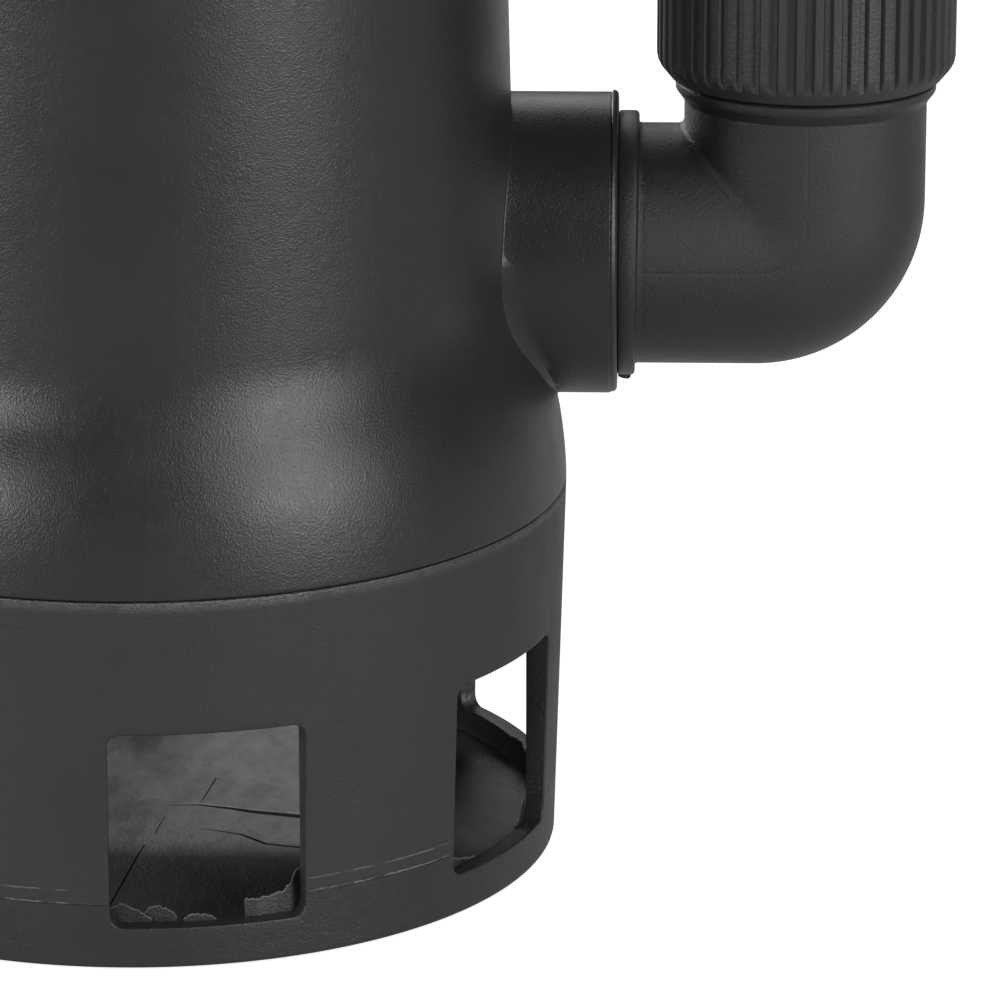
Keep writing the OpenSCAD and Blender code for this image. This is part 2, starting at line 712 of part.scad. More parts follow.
module shaft() color(steel) difference() {
    lathe([[0, blade_z - 3], [shaft_end_r - 0.6, blade_z - 3], [shaft_end_r, blade_z - 2.4],
        [shaft_end_r, impeller_z], [shaft_r, impeller_z], [shaft_r, lower_bearing_z + bearing_h],
        [rotor_seat_r, lower_bearing_z + bearing_h], [rotor_seat_r, upper_bearing_z],
        [shaft_r, upper_bearing_z], [shaft_r, upper_bearing_z + bearing_h + 2.4],
        [shaft_r - 0.6, upper_bearing_z + bearing_h + 3], [0, upper_bearing_z + bearing_h + 3]]);
    translate([shaft_r - 2, -1.5, impeller_z + 1]) cube([4, 3, 11]);
}

module shaft_key() color(steel) translate([shaft_r - 2, -1.5, impeller_z + 1]) cube([3.6, 3, 11]);

module rotor_core() color(steel) tube(rotor_r, rotor_seat_r, stack_z, stack_z + stack_h);

module rotor_end_rings() color("#c7c9cb") for (z = [stack_z - end_ring_h, stack_z + stack_h])
    tube(rotor_r - 1, 14, z, z + end_ring_h);

// Blade swept back against the turning direction
module blade() {
    steps = 8;
    sweep = 38;
    inner = impeller_hub_r - 1;
    path = [for (i = [0:steps])
        let (r = inner + (impeller_r - inner) * i / steps, a = -sweep * pow(i / steps, 1.3))
        [r * cos(a), r * sin(a), a - 28 * i / steps]];
    left = [for (p = path) [p[0] - blade_t / 2 * sin(p[2]), p[1] + blade_t / 2 * cos(p[2])]];
    right = [for (i = [steps:-1:0]) let (p = path[i])
        [p[0] + blade_t / 2 * sin(p[2]), p[1] - blade_t / 2 * cos(p[2])]];
    translate([0, 0, blade_z]) linear_extrude(disc_z - blade_z + 1) polygon(concat(left, right));
}

module impeller() color("#3a3d40") difference() {
    union() {
        disc(impeller_r + 0.6, disc_z, disc_z + disc_h);
        disc(impeller_hub_r, impeller_z, disc_z + disc_h);
        intersection() {
            around(blade_count, 0) blade();
            lathe([[0, disc_z + 1], [impeller_r, disc_z + 1], [impeller_r, blade_z + 2],
                [impeller_hub_r + 8, blade_z], [impeller_hub_r + 3, impeller_z + 1], [0, impeller_z + 1]]);
        }
    }
    disc(shaft_r, impeller_z - 1, disc_z + disc_h + 1);
    translate([shaft_r - 1, -1.5, impeller_z - 1]) cube([2.6, 3, 13]);
}

module impeller_washer() color(steel) tube(9, shaft_end_r, impeller_z - 1.2, impeller_z);

module impeller_nut() color(steel) difference() {
    translate([0, 0, impeller_z - 6]) cylinder(r = 7.5, h = 4.8, $fn = 6);
    disc(shaft_end_r, impeller_z - 7, impeller_z);
}

// Rotating seal head: carbon face, cup and the spring's collar on the shaft
module seal_head() color("#26282a")
    lathe([[shaft_r, 91], [8, 91], [8, seal_face_z + 1], [11, seal_face_z + 1], [11, 91],
        [12, 91], [12, 94], [shaft_r, 94]]);

// Spring wire on a helix between the head and the collar
spring_turns = 3;
spring_steps = 16;
wire_r = 0.8;
spring_r = 9.2;
spring_z0 = 94 + wire_r + 0.05;
spring_z1 = 102.4 - wire_r - 0.05;
spring_rings = spring_turns * spring_steps;
function spring_point(i, k) = let (a = 360 * i / spring_steps, w = 60 * k)
    [(spring_r + wire_r * cos(w)) * cos(a), (spring_r + wire_r * cos(w)) * sin(a),
     spring_z0 + (spring_z1 - spring_z0) * i / spring_rings + wire_r * sin(w)];

module seal_spring() color(steel) polyhedron(
    points = [for (i = [0:spring_rings], k = [0:5]) spring_point(i, k)],
    faces = concat([[for (k = [0:5]) k]], [[for (k = [5:-1:0]) spring_rings * 6 + k]],
        [for (i = [0:spring_rings - 1], k = [0:5]) let (n = (k + 1) % 6)
            [i * 6 + n, i * 6 + k, i * 6 + 6 + k, i * 6 + 6 + n]]));

module spring_collar() color(steel) tube(11, shaft_r, 102.4, 103.6);

module outlet_elbow() color(black_plastic) difference() {
    union() {
        pipe(elbow_r, boss_x + 1, bend_x);
        pipe(collar_r, boss_x + collar_gap, collar_x);
        pipe(spigot_r, spigot_in_x, boss_x + 1);
        translate([boss_x + collar_gap, outlet_y - 3, outlet_z - collar_r - 1.4]) cube([2.6, 6, 4]);
        translate([bend_x, outlet_y, bend_z]) rotate([90, 0, 0]) rotate([0, 0, -90])
            rotate_extrude(angle = 90) intersection() {
                translate([bend_r, 0]) circle(r = elbow_r);
                translate([0, -40]) square([80, 80]);
            }
        translate([leg_x, outlet_y, 0]) lathe([[0, bend_z], [elbow_r, bend_z], [elbow_r, ring_z - 1.8],
            [ring_r - 0.4, ring_z], [ring_r, ring_z + 0.3], [ring_r, thread_z], [thread_r - 1, thread_z],
            [thread_r - 1, thread_z + 1], [thread_r, thread_z + 2], [thread_r, thread_top - 1],
            [thread_r - 1, thread_top], [0, thread_top]]);
    }
    pipe(elbow_bore_r, boss_in_x, bend_x);
    translate([bend_x, outlet_y, bend_z]) rotate([90, 0, 0]) rotate([0, 0, -90])
        rotate_extrude(angle = 90) intersection() {
            translate([bend_r, 0]) circle(r = elbow_bore_r);
            translate([0, -40]) square([80, 80]);
        }
    translate([leg_x, outlet_y, bend_z]) cylinder(r = elbow_bore_r, h = 60);
    translate([elbow_groove_x, outlet_y, outlet_z]) rotate([0, 90, 0])
        tube(40, spigot_r - elbow_groove, 0, elbow_groove_w);
    translate([snap_ring_x - 0.1, outlet_y, outlet_z]) rotate([0, 90, 0])
        tube(40, spigot_r - snap_ring_depth, 0, snap_ring_w + 0.2);
}

module elbow_seal() color(rubber) translate([elbow_groove_x, outlet_y, outlet_z]) rotate([0, 90, 0])
    tube(spigot_r, spigot_r - elbow_groove, 0.2, elbow_groove_w - 0.2);

module adapter_gasket() color(rubber) translate([leg_x, outlet_y, 0])
    tube(thread_r - 0.8, elbow_bore_r + 0.5, thread_top + 0.3, adapter_z);

// One hose step: a plain length, then two barbs that taper upwards
function hose_step(i) = let (z = steps_z + i * step_h, r = step_r[i], barb = (step_h - step_plain) / 2)
    [[r, z], [r, z + step_plain], [r - barb_depth, z + step_plain], [r - barb_depth, z + step_plain + 1.2],
     [r, z + step_plain + 1.2], [r - barb_depth, z + step_plain + barb], [r, z + step_plain + barb],
     [r - barb_depth, z + step_h - 0.2]];

module hose_adapter() color(black_plastic) translate([leg_x, outlet_y, 0]) difference() {
    lathe(concat([[0, adapter_z], [thread_r - 0.3, adapter_z], [thread_r - 0.3, adapter_z + adapter_collar_h],
        [neck_out_r, adapter_z + adapter_collar_h], [neck_out_r, steps_z - 1]],
        [for (i = [0:2]) each hose_step(i)],
        [[step_r[2] - 1.2, steps_z + 3 * step_h], [0, steps_z + 3 * step_h]]));
    disc(tail_bore_r, adapter_z - 1, steps_z + 3 * step_h + 1);
    disc(step_r[1] - 3, adapter_z - 1, steps_z + 2 * step_h - 4);
    disc(step_r[0] - 3, adapter_z - 1, steps_z + step_h - 4);
}

// Star-shaped outline of the grip ribs
rib_pitch = 360 / rib_count;
rib_outline = [for (i = [0:rib_count - 1], p = [[-0.34, 0], [-0.2, 1], [0.2, 1], [0.34, 0]])
    let (a = (i + p[0]) * rib_pitch, r = nut_r - rib_depth * (1 - p[1])) [r * cos(a), r * sin(a)]];

module union_nut() color(grip_plastic) translate([leg_x, outlet_y, 0]) difference() {
    intersection() {
        translate([0, 0, nut_z - 1]) linear_extrude(nut_top - nut_z + 2) polygon(rib_outline);
        lathe([[0, nut_z], [nut_r - 2.8, nut_z], [nut_r - 0.6, nut_z + 2.6], [nut_r + 0.2, nut_z + 5],
            [nut_r + 0.2, nut_top - 1.7], [nut_r - 1.5, nut_top], [0, nut_top]]);
    }
    disc(thread_r + thread_gap, nut_z - 1, adapter_z + adapter_collar_h + flange_gap);
    disc(neck_out_r + 0.3, nut_z - 1, nut_top + 1);
}

base_plate();
pedestal();
suction_plate();
diffuser();
outer_housing();
motor_can();
can_seal();
oil_chamber_cover();
lip_seal();
seal_seat();
lower_bearing_bracket();
upper_bearing_bracket();
outer_ring(lower_bearing_z);  // lower_bearing_outer_ring
outer_ring(upper_bearing_z);  // upper_bearing_outer_ring
stator_core();
stator_winding();
stator_bolts();
capacitor();
capacitor_clip();
thermal_protector();
terminal_block();
top_cover();
cover_seal();
handle();
gland(-1);  // cable_gland
gland(1);  // float_cable_gland
gland_grommets();
base_screws();
suction_plate_screws();
can_screws();
cover_screws();
handle_screws();
shaft();
shaft_key();
rotor_core();
rotor_end_rings();
impeller();
impeller_washer();
impeller_nut();
seal_head();
seal_spring();
spring_collar();
inner_ring(lower_bearing_z);  // lower_bearing_inner_ring
inner_ring(upper_bearing_z);  // upper_bearing_inner_ring
cage(lower_bearing_z);  // lower_bearing_cage
balls(lower_bearing_z);  // lower_bearing_balls
cage(upper_bearing_z);  // upper_bearing_cage
balls(upper_bearing_z);  // upper_bearing_balls
outlet_elbow();
elbow_seal();
adapter_gasket();
hose_adapter();
union_nut();
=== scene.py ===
"""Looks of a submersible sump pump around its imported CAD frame.

Shapes are worked out in millimetres in the frame's own axes (+Z along the shaft, +X along the
outlet) and turned into metres when a mesh is made.
"""

import json
import math

import bmesh
import bpy
import numpy as np
from mathutils import Matrix, Vector, noise

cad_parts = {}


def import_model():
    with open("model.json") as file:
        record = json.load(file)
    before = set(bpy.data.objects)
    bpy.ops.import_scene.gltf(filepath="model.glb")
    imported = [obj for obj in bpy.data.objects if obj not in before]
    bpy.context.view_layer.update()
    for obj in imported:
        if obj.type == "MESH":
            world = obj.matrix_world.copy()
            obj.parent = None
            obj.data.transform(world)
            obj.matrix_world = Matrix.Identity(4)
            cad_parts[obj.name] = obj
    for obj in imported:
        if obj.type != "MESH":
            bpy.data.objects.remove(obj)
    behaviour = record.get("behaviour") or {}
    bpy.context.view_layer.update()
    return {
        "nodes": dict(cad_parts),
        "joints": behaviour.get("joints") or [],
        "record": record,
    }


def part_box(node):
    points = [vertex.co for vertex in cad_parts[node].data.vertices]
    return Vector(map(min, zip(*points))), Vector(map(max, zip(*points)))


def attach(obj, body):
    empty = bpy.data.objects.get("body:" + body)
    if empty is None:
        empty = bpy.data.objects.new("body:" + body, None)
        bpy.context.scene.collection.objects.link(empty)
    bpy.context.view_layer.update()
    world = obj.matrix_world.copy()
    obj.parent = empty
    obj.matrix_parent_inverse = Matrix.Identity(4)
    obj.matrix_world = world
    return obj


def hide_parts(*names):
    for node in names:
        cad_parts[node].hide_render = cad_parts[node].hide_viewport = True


MM = 0.001
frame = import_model()
JOINTS = {joint["name"]: joint for joint in frame["joints"]}


def low(node):
    """Lower corner of a CAD node's box in millimetres."""
    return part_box(node)[0] / MM


def high(node):
    """Upper corner of a CAD node's box in millimetres."""
    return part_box(node)[1] / MM


# -------------------- sizes from the frame
SEAM_Z = low("outer_housing").z
SEAM_R = round(high("pedestal").x, 1)
HOUSING_TOP = high("outer_housing").z
BOSS_X = high("outer_housing").x
PLATE_Z = high("base_plate").z
OUTLET_Y = JOINTS["elbow_swivel"]["pos_m"][1] / MM
OUTLET_Z = JOINTS["elbow_swivel"]["pos_m"][2] / MM
LEG_X = JOINTS["nut_turn"]["pos_m"][0] / MM
LEG = (LEG_X, OUTLET_Y)
SEAL_GROOVE = (low("elbow_seal").x - 0.2, high("elbow_seal").x + 0.2)
NUT_LOW = low("union_nut").z
NUT_HIGH = high("union_nut").z
NUT_R = high("union_nut").x - LEG_X

# -------------------- sizes the boxes don't give
PLATE_R = 78.16
PEDESTAL_IN_R = 74.4
NECK_R = 70.2
NECK_Z = 111.0
DRAFT = math.radians(1.42)
SHOULDER_TILT = (math.radians(1.5), math.radians(9.5), math.radians(29))
SHOULDER_Z = (83.0, 98.0)
HOUSING_WALL = 3.5
HOUSING_IN_R = 76.4
BOSS_R = 28.62
BORE_R = 21.01
SNAP_RING = (83.0, 84.6)
SNAP_DEPTH = 0.6
SKIN = 0.08
ELBOW_R = 22.86
ELBOW_BORE_R = 18.0
BEND_R = 9.0
COLLAR_W = 3.8
COLLAR_R = 25.15
SPIGOT_R = 20.95
RING_R = 24.55
RING_Z = 143.8
THREAD_Z = 145.9
THREAD_TOP = 163.0
THREAD_R = 23.9
THREAD_PITCH = 2.309
THREAD_DEPTH = 1.15
THREAD_STEPS = 12
WINDOW_COUNT = 7
WINDOW_ANGLE = math.radians(25.03)
WINDOW_HALF_W = 18.3
WINDOW_LEAN = math.radians(8)
# Distance from the shaft where the leaning sides are WINDOW_HALF_W off the window's middle
WINDOW_U = 78.0
WINDOW_Z0 = 7.8
WINDOW_Z1 = 45.3
WINDOW_CORNER = 2.5
RIB_COUNT = 52
RIB_STEPS = 14
RIB_DEPTH = 0.95
PITCH = math.tau / WINDOW_COUNT


def foot_skin(z):
    """Radius of the shown outer wall of pedestal and base plate at height z, just inside the CAD's."""
    return PLATE_R + (SEAM_R - PLATE_R) * (z - PLATE_Z) / (SEAM_Z - PLATE_Z) - SKIN


def inside_r(z):
    """Inner radius of pedestal and base plate: the same at every height."""
    return PEDESTAL_IN_R


def arc(cx, cz, r, a0, a1, steps):
    """Points of an arc, angles in degrees."""
    turn = np.radians(np.linspace(a0, a1, steps + 1))
    return [(cx + r * math.cos(a), cz + r * math.sin(a)) for a in turn]


def shoulder_line():
    """Outer line of the housing from the seam to its neck: a slack arc, a rounder one, a hollow one."""
    tilt = [*SHOULDER_TILT, DRAFT]
    height = [SEAM_Z, *SHOULDER_Z, NECK_Z]
    bend = [(height[i + 1] - height[i]) / (math.sin(tilt[i + 1]) - math.sin(tilt[i])) for i in range(3)]
    drop = [bend[i] * (math.cos(tilt[i]) - math.cos(tilt[i + 1])) for i in range(3)]
    fit = (SEAM_R - NECK_R) / sum(drop)
    points, start = [], SEAM_R
    for i in range(3):
        for a in np.linspace(tilt[i], tilt[i + 1], 25)[: 25 if i == 2 else 24]:
            points.append((start - fit * bend[i] * (math.cos(tilt[i]) - math.cos(a)),
                           height[i] + bend[i] * (math.sin(a) - math.sin(tilt[i]))))
        start -= fit * drop[i]
    return points


SHOULDER = shoulder_line()


def housing_r(z):
    """Outer radius of the housing at height z."""
    if z >= NECK_Z:
        return NECK_R - (z - NECK_Z) * math.tan(DRAFT)
    return float(np.interp(z, [p[1] for p in SHOULDER], [p[0] for p in SHOULDER]))


def housing_skin(z):
    """Radius of the shown outer wall of the housing, just inside the CAD's."""
    return housing_r(z) - SKIN


def housing_in_r(z):
    """Inner radius of the housing at height z."""
    return min(HOUSING_IN_R, housing_r(z) - HOUSING_WALL - 0.3)


def wobble(x, y, z=0.0):
    """Smooth noise from -1 to 1."""
    return noise.noise(Vector((x, y, z)))


def held(value):
    """A value held between 0 and 1."""
    return max(0.0, min(1.0, value))


# -------------------- meshes
ROD_COLUMNS = 48


class Shell:
    """Strips of faces that share their borders and close into one skin. Points are in millimetres."""

    def __init__(self):
        self.points = []
        self.faces = []
        self.count = 0

    def rows(self, rows, closed=True, skip=None):
        """Quads between rows of equally many points. skip(row, column) leaves a cell out."""
        rows = np.asarray(rows, float)
        start = self.count
        n, m = rows.shape[:2]
        self.points.append(rows.reshape(-1, 3))
        self.count += n * m
        for i in range(n - 1):
            for j in range(m if closed else m - 1):
                if skip and skip(i, j):
                    continue
                k = (j + 1) % m
                a = start + i * m
                b = a + m
                self.faces.append((a + j, a + k, b + k, b + j))

    def face(self, points):
        """One face with any number of corners."""
        points = np.asarray(points, float)
        self.points.append(points)
        self.faces.append(tuple(range(self.count, self.count + len(points))))
        self.count += len(points)

    def cap(self, ring, centre):
        """Triangles from a ring to a centre point."""
        ring = np.asarray(ring, float)
        start = self.count
        self.points.append(np.vstack([ring, [centre]]))
        self.count += len(ring) + 1
        for j in range(len(ring)):
            self.faces.append((start + j, start + (j + 1) % len(ring), start + len(ring)))

    def mesh(self, name, sharp=32):
        """The merged mesh in metres, with normals outwards and edges sharper than the angle kept hard."""
        data = bpy.data.meshes.new(name)
        points = np.vstack(self.points) * MM
        data.from_pydata(points.tolist(), [], self.faces)
        return tidy(data, sharp)


def tidy(data, sharp=32):
    """Joins points that coincide, drops empty faces and shades the mesh smooth between sharp edges."""
    work = bmesh.new()
    work.from_mesh(data)
    bmesh.ops.remove_doubles(work, verts=work.verts, dist=2e-6)
    bmesh.ops.dissolve_degenerate(work, edges=work.edges, dist=1e-7)
    bmesh.ops.recalc_face_normals(work, faces=work.faces)
    work.to_mesh(data)
    work.free()
    data.polygons.foreach_set("use_smooth", [True] * len(data.polygons))
    data.set_sharp_from_angle(angle=math.radians(sharp))
    return data


def placed(name, data):
    """A new object in the scene."""
    made = bpy.data.objects.new(name, data)
    bpy.context.scene.collection.objects.link(made)
    return made


def piece(name, data, body, material, nodes):
    """A shown piece that rides on a body, takes a slot's finish and stands for CAD nodes."""
    made = placed(name, data)
    data.materials.clear()
    data.materials.append(material)
    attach(made, body)
    if nodes:
        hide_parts(*nodes)
    return made


def cyl(r, azimuth, z):
    """The point at a radius, an azimuth and a height."""
    return (r * math.cos(azimuth), r * math.sin(azimuth), z)


def around_z(radius, angle, z, at=(0, 0)):
    """Points on a circle about a vertical axis."""
    return np.stack([at[0] + radius * np.cos(angle), at[1] + radius * np.sin(angle), z + 0 * angle], -1)


def lathe_rows(line, angles, at=(0, 0)):
    """Rows of points of a line of (radius, height) turned about a vertical axis."""
    return [around_z(r, angles, z, at) for r, z in line]


def full_turn(count):
    """Evenly spaced angles round a circle."""
    return np.arange(count) * math.tau / count


def lathe(line, count, at=(0, 0)):
    """A closed skin of revolution about a vertical axis, from a closed line of (radius, height)."""
    shell = Shell()
    shell.rows(lathe_rows([*line, line[0]], full_turn(count), at))
    return shell


def capped(name, rows):
    """A closed mesh: strips between rows of points, a face over the first row and one over the last."""
    shell = Shell()
    shell.rows(rows)
    for row in (rows[0], rows[-1]):
        shell.face(row)
    return shell.mesh(name)


def groove(x0, x1, r, depth):
    """The four points of a groove's section between two places on a wall at radius r."""
    return [(x0, r), (x0, r - depth), (x1, r - depth), (x1, r)]


def boolean(data, cutters, operation="DIFFERENCE"):
    """data with the cutters taken away or added, as a new mesh."""
    target = placed("target", data)
    helpers = []
    for cutter in cutters:
        helper = placed("cutter", cutter)
        step = target.modifiers.new("cut", "BOOLEAN")
        step.operation, step.solver, step.object = operation, "EXACT", helper
        helpers.append(helper)
    graph = bpy.context.evaluated_depsgraph_get()
    made = bpy.data.meshes.new_from_object(target.evaluated_get(graph))
    for used in [target, *helpers]:
        bpy.data.objects.remove(used)
    return tidy(made)


def rod(radius, start, end):
    """A closed cylinder between two points."""
    start, end = Vector(start), Vector(end)
    turn = (end - start).to_track_quat("Z", "Y")
    rings = []
    for centre in (start, end):
        rings.append([tuple(centre + turn @ Vector(cyl(radius, a, 0))) for a in full_turn(ROD_COLUMNS)])
    shell = Shell()
    shell.rows(rings)
    for ring, centre in zip(rings, (start, end)):
        shell.cap(ring, tuple(centre))
    return shell.mesh("rod")


# -------------------- housing
HOUSING_COLUMNS = 192
PATCH_HALF = 18
PATCH_Z0 = 78.0
PATCH_Z1 = 149.0
PATCH_ROWS = 40
PATCH_STEPS = 14
PATCH_TURN = math.asin(OUTLET_Y / NECK_R)
BOSS_ROUND = 1.0
LIP_ROUND = 0.5
LIP_LOW = SEAM_Z + 0.12
LIP_HIGH = SEAM_Z + 0.9
BOSS_BEAD_W = 1.2


def patch_border():
    """Azimuth and height of the points round the rectangle that the boss stands in."""
    step = math.tau / HOUSING_COLUMNS
    across = [i * step for i in range(-PATCH_HALF, PATCH_HALF)]
    up = np.linspace(PATCH_Z0, PATCH_Z1, PATCH_ROWS + 1)
    border = [(a, PATCH_Z0) for a in across]
    border += [(PATCH_HALF * step, z) for z in up[:-1]]
    border += [(-a, PATCH_Z1) for a in across]
    border += [(-PATCH_HALF * step, z) for z in up[:0:-1]]
    return [(PATCH_TURN + a, z) for a, z in border]


def boss_point(angle, radius, radius_at):
    """Where a line along +X at this angle and radius about the outlet's axis meets a wall."""
    y = OUTLET_Y + radius * math.cos(angle)
    z = OUTLET_Z + radius * math.sin(angle)
    return math.sqrt(radius_at(z) ** 2 - y * y), y, z


def wall_patch(radius_at, hole_r, angles, border):
    """Rows of points on the wall from a hole's rim out to the border, with a hole radius per angle."""
    rows = []
    rim = []
    for hole, angle in zip(hole_r, angles):
        x, y, z = boss_point(angle, hole, radius_at)
        rim.append((math.atan2(y, x), z))
    for i in range(PATCH_STEPS + 1):
        share = (i / PATCH_STEPS) ** 1.4
        row = []
        for (a0, z0), (a1, z1) in zip(rim, border):
            z = z0 + (z1 - z0) * share
            row.append(cyl(radius_at(z), a0 + (a1 - a0) * share, z))
        rows.append(row)
    return rows


def housing_wall(shell, radius_at, hole_r, angles, border, heights):
    """One wall of the housing as a grid, with the patch in the boss's place."""
    azimuths = full_turn(HOUSING_COLUMNS) + PATCH_TURN
    shell.rows([around_z(radius_at(z), azimuths, z) for z in heights],
               skip=lambda i, j: PATCH_Z0 - 0.01 < heights[i] < PATCH_Z1 - 0.01
               and (j < PATCH_HALF or j >= HOUSING_COLUMNS - PATCH_HALF))
    shell.rows(wall_patch(radius_at, hole_r, angles, border))


def boss_foot(angle):
    """Web between boss and shoulder: how far it reaches out on the housing and along the boss."""
    below = math.degrees(math.atan2(-math.sin(angle), abs(math.cos(angle))))
    along = np.interp(below, [-9, -5, 2, 10, 19, 30, 42, 62], [0.3, 3.0, 3.6, 3.7, 3.4, 2.5, 1.4, 0.3])
    out = np.interp(below, [-9, 5, 25, 45, 62], [0.3, 0.45, 1.3, 1.2, 0.4])
    return float(out), float(along)


def level_ring(x, r, angles, lift=0.0):
    """Points on a circle about the outlet's axis."""
    return [(x, OUTLET_Y + r * math.cos(a), OUTLET_Z + lift + r * math.sin(a)) for a in angles]


def housing_mesh():
    border = patch_border()
    angles = [math.atan2(z - OUTLET_Z, (a - PATCH_TURN) * NECK_R) for a, z in border]
    heights = [PATCH_Z0, *np.linspace(PATCH_Z0, PATCH_Z1, PATCH_ROWS + 1)[1:]]
    heights += list(np.linspace(PATCH_Z1, HOUSING_TOP, 24)[1:])
    foot = list(np.linspace(LIP_HIGH, PATCH_Z0, 12))
    shell = Shell()
    reach = [boss_foot(a) for a in angles]
    rim = [BOSS_R + out for out, along in reach]
    housing_wall(shell, housing_skin, rim, angles, border, foot[:-1] + heights)
    housing_wall(shell, housing_in_r, [BORE_R] * len(angles), angles, border, heights)
    # The boss: fillet or web, cylinder, bead at the end, face, bore with its snap ring
    rows = []
    for share in np.linspace(0, 1, 5):
        row = []
        for angle, (out, along) in zip(angles, reach):
            start = Vector(boss_point(angle, BOSS_R + out, housing_skin))
            knee = Vector(boss_point(angle, BOSS_R, housing_skin))
            end = knee + Vector((along, 0, 0))
            flat = start.lerp(end, share)
            curve = start * (1 - share) ** 2 + knee * 2 * share * (1 - share) + end * share ** 2
            row.append(tuple(flat.lerp(curve, 1.0 if along < 0.6 else 0.25)))
        rows.append(row)
    end_of_fillet = rows[-1]
    bead_x = BOSS_X - BOSS_BEAD_W
    for share in np.linspace(0, 1, 9)[1:]:
        rows.append([(x + (bead_x - 0.35 - x) * share, y, z) for x, y, z in end_of_fillet])
    bead = [(bead_x - 0.3, -0.05, 0.0), (bead_x - 0.12, -0.08, 0.0), (bead_x, -0.02, 0.2),
            (bead_x + 0.15, 0.08, 0.3)]
    rows += [level_ring(x, BOSS_R + r, angles, lift) for x, r, lift in bead]
    rows += [level_ring(BOSS_X - BOSS_ROUND + BOSS_ROUND * math.sin(t),
                        BOSS_R + 0.08 - BOSS_ROUND * (1 - math.cos(t)), angles, 0.3)
             for t in np.radians([20, 40, 60, 75, 90])]
    bore = [(BOSS_X, BORE_R + 0.6), (BOSS_X - 0.6, BORE_R),
            *groove(SNAP_RING[1], SNAP_RING[0], BORE_R, SNAP_DEPTH)]
    rows += [level_ring(x, r, angles) for x, r in bore]
    inside = [boss_point(a, BORE_R, housing_in_r) for a in angles]
    for share in np.linspace(0, 1, 6)[1:]:
        rows.append([(SNAP_RING[0] + (x - SNAP_RING[0]) * share, y, z) for x, y, z in inside])
    shell.rows(rows)
    # The lower lip and the top rim
    r0 = housing_skin(LIP_HIGH)
    lip = [(housing_in_r(PATCH_Z0), PATCH_Z0), (HOUSING_IN_R, LIP_LOW), (r0 - LIP_ROUND, LIP_LOW)]
    lip += [(r0 - LIP_ROUND + LIP_ROUND * math.sin(t), LIP_LOW + LIP_ROUND - LIP_ROUND * math.cos(t))
            for t in np.radians([22, 45, 67])]
    lip += [(r0, LIP_LOW + LIP_ROUND), (r0, LIP_HIGH)]
    top = [(radius_at(HOUSING_TOP), HOUSING_TOP) for radius_at in (housing_skin, housing_in_r)]
    azimuths = full_turn(HOUSING_COLUMNS) + PATCH_TURN
    shell.rows(lathe_rows(lip, azimuths))
    shell.rows(lathe_rows(top, azimuths))
    return shell.mesh("housing_shell")


# -------------------- pedestal and base plate
EDGE = 0.35
INNER_EDGE = 0.25
TOP_COLUMNS = 10
CORNER_STEPS = 6
BAR_COLUMNS = 12
CORNER_IN = WINDOW_CORNER / math.cos(WINDOW_LEAN)


def edge_azimuth(r, inset):
    """Angle from a window's middle to its side, at a radius, the side moved inwards by inset."""
    lean = math.tan(WINDOW_LEAN)
    w0 = WINDOW_HALF_W - inset - WINDOW_U * lean
    a, b, c = 1 + lean * lean, 2 * w0 * lean, w0 * w0 - r * r
    u = (-b + math.sqrt(b * b - 4 * a * c)) / (2 * a)
    return math.atan2(w0 + u * lean, u)


def bar_angles(r, grow):
    """Angles from a window's middle at a radius: from its side out to the middle of the next bar."""
    side = edge_azimuth(r, -grow / math.cos(WINDOW_LEAN))
    return [side + (PITCH / 2 - side) * i / BAR_COLUMNS for i in range(BAR_COLUMNS + 1)]


class Notch:
    """A window's end with two round corners, in a wall that goes on in the direction up."""

    def __init__(self, edge_z, up, open_z, side_rows):
        self.edge_z = edge_z
        self.up = up
        reach = open_z - edge_z + up * WINDOW_CORNER
        self.side = [edge_z - up * WINDOW_CORNER + reach * i / side_rows for i in range(1, side_rows + 1)]

    def outline(self, radius_at, grow):
        """Half the outline, from the window's middle to the open end: (angle from the middle, height)."""
        middle = edge_azimuth(radius_at(self.edge_z), CORNER_IN)
        points = [(middle * i / TOP_COLUMNS, self.edge_z + self.up * grow) for i in range(TOP_COLUMNS)]
        for t in np.radians(np.linspace(0, 90, CORNER_STEPS + 1)):
            z = self.edge_z - self.up * (WINDOW_CORNER - (WINDOW_CORNER + grow) * math.cos(t))
            inset = CORNER_IN - (WINDOW_CORNER + grow) * math.sin(t) / math.cos(WINDOW_LEAN)
            points.append((edge_azimuth(radius_at(z), inset), z))
        for z in self.side:
            points.append((edge_azimuth(radius_at(z), -grow / math.cos(WINDOW_LEAN)), z))
        return points


def ring_azimuths(radius, grow):
    """Azimuths of all columns of a full ring, in step with the notches' columns."""
    found = []
    middle = edge_azimuth(radius, CORNER_IN)
    half = [middle * i / TOP_COLUMNS for i in range(TOP_COLUMNS + 1)] + bar_angles(radius, grow)
    for k in range(WINDOW_COUNT):
        centre = WINDOW_ANGLE + k * PITCH
        found += [centre - a for a in half[:0:-1]][1:] + [centre + a for a in half]
    return np.array(found)


def notched_wall(shell, notch, radius_at, grow):
    """The stretch of a wall beside its windows: corner fillings and bars."""
    outline = notch.outline(radius_at, grow)
    corner = outline[TOP_COLUMNS:TOP_COLUMNS + CORNER_STEPS + 1]
    levels = [z for _, z in corner] + notch.side
    for k in range(WINDOW_COUNT):
        centre = WINDOW_ANGLE + k * PITCH
        for hand in (-1, 1):
            rows = []
            for z in levels:
                r = radius_at(z)
                rows.append([cyl(r, centre + hand * a, z) for a in bar_angles(r, grow)])
            shell.rows(rows, closed=False)
            fan = [cyl(radius_at(z), centre + hand * a, z) for a, z in corner]
            for i in range(CORNER_STEPS):
                corners = [fan[i], rows[i][0], rows[i + 1][0], fan[i + 1]]
                shell.face(corners[:3] if i == CORNER_STEPS - 1 else corners)


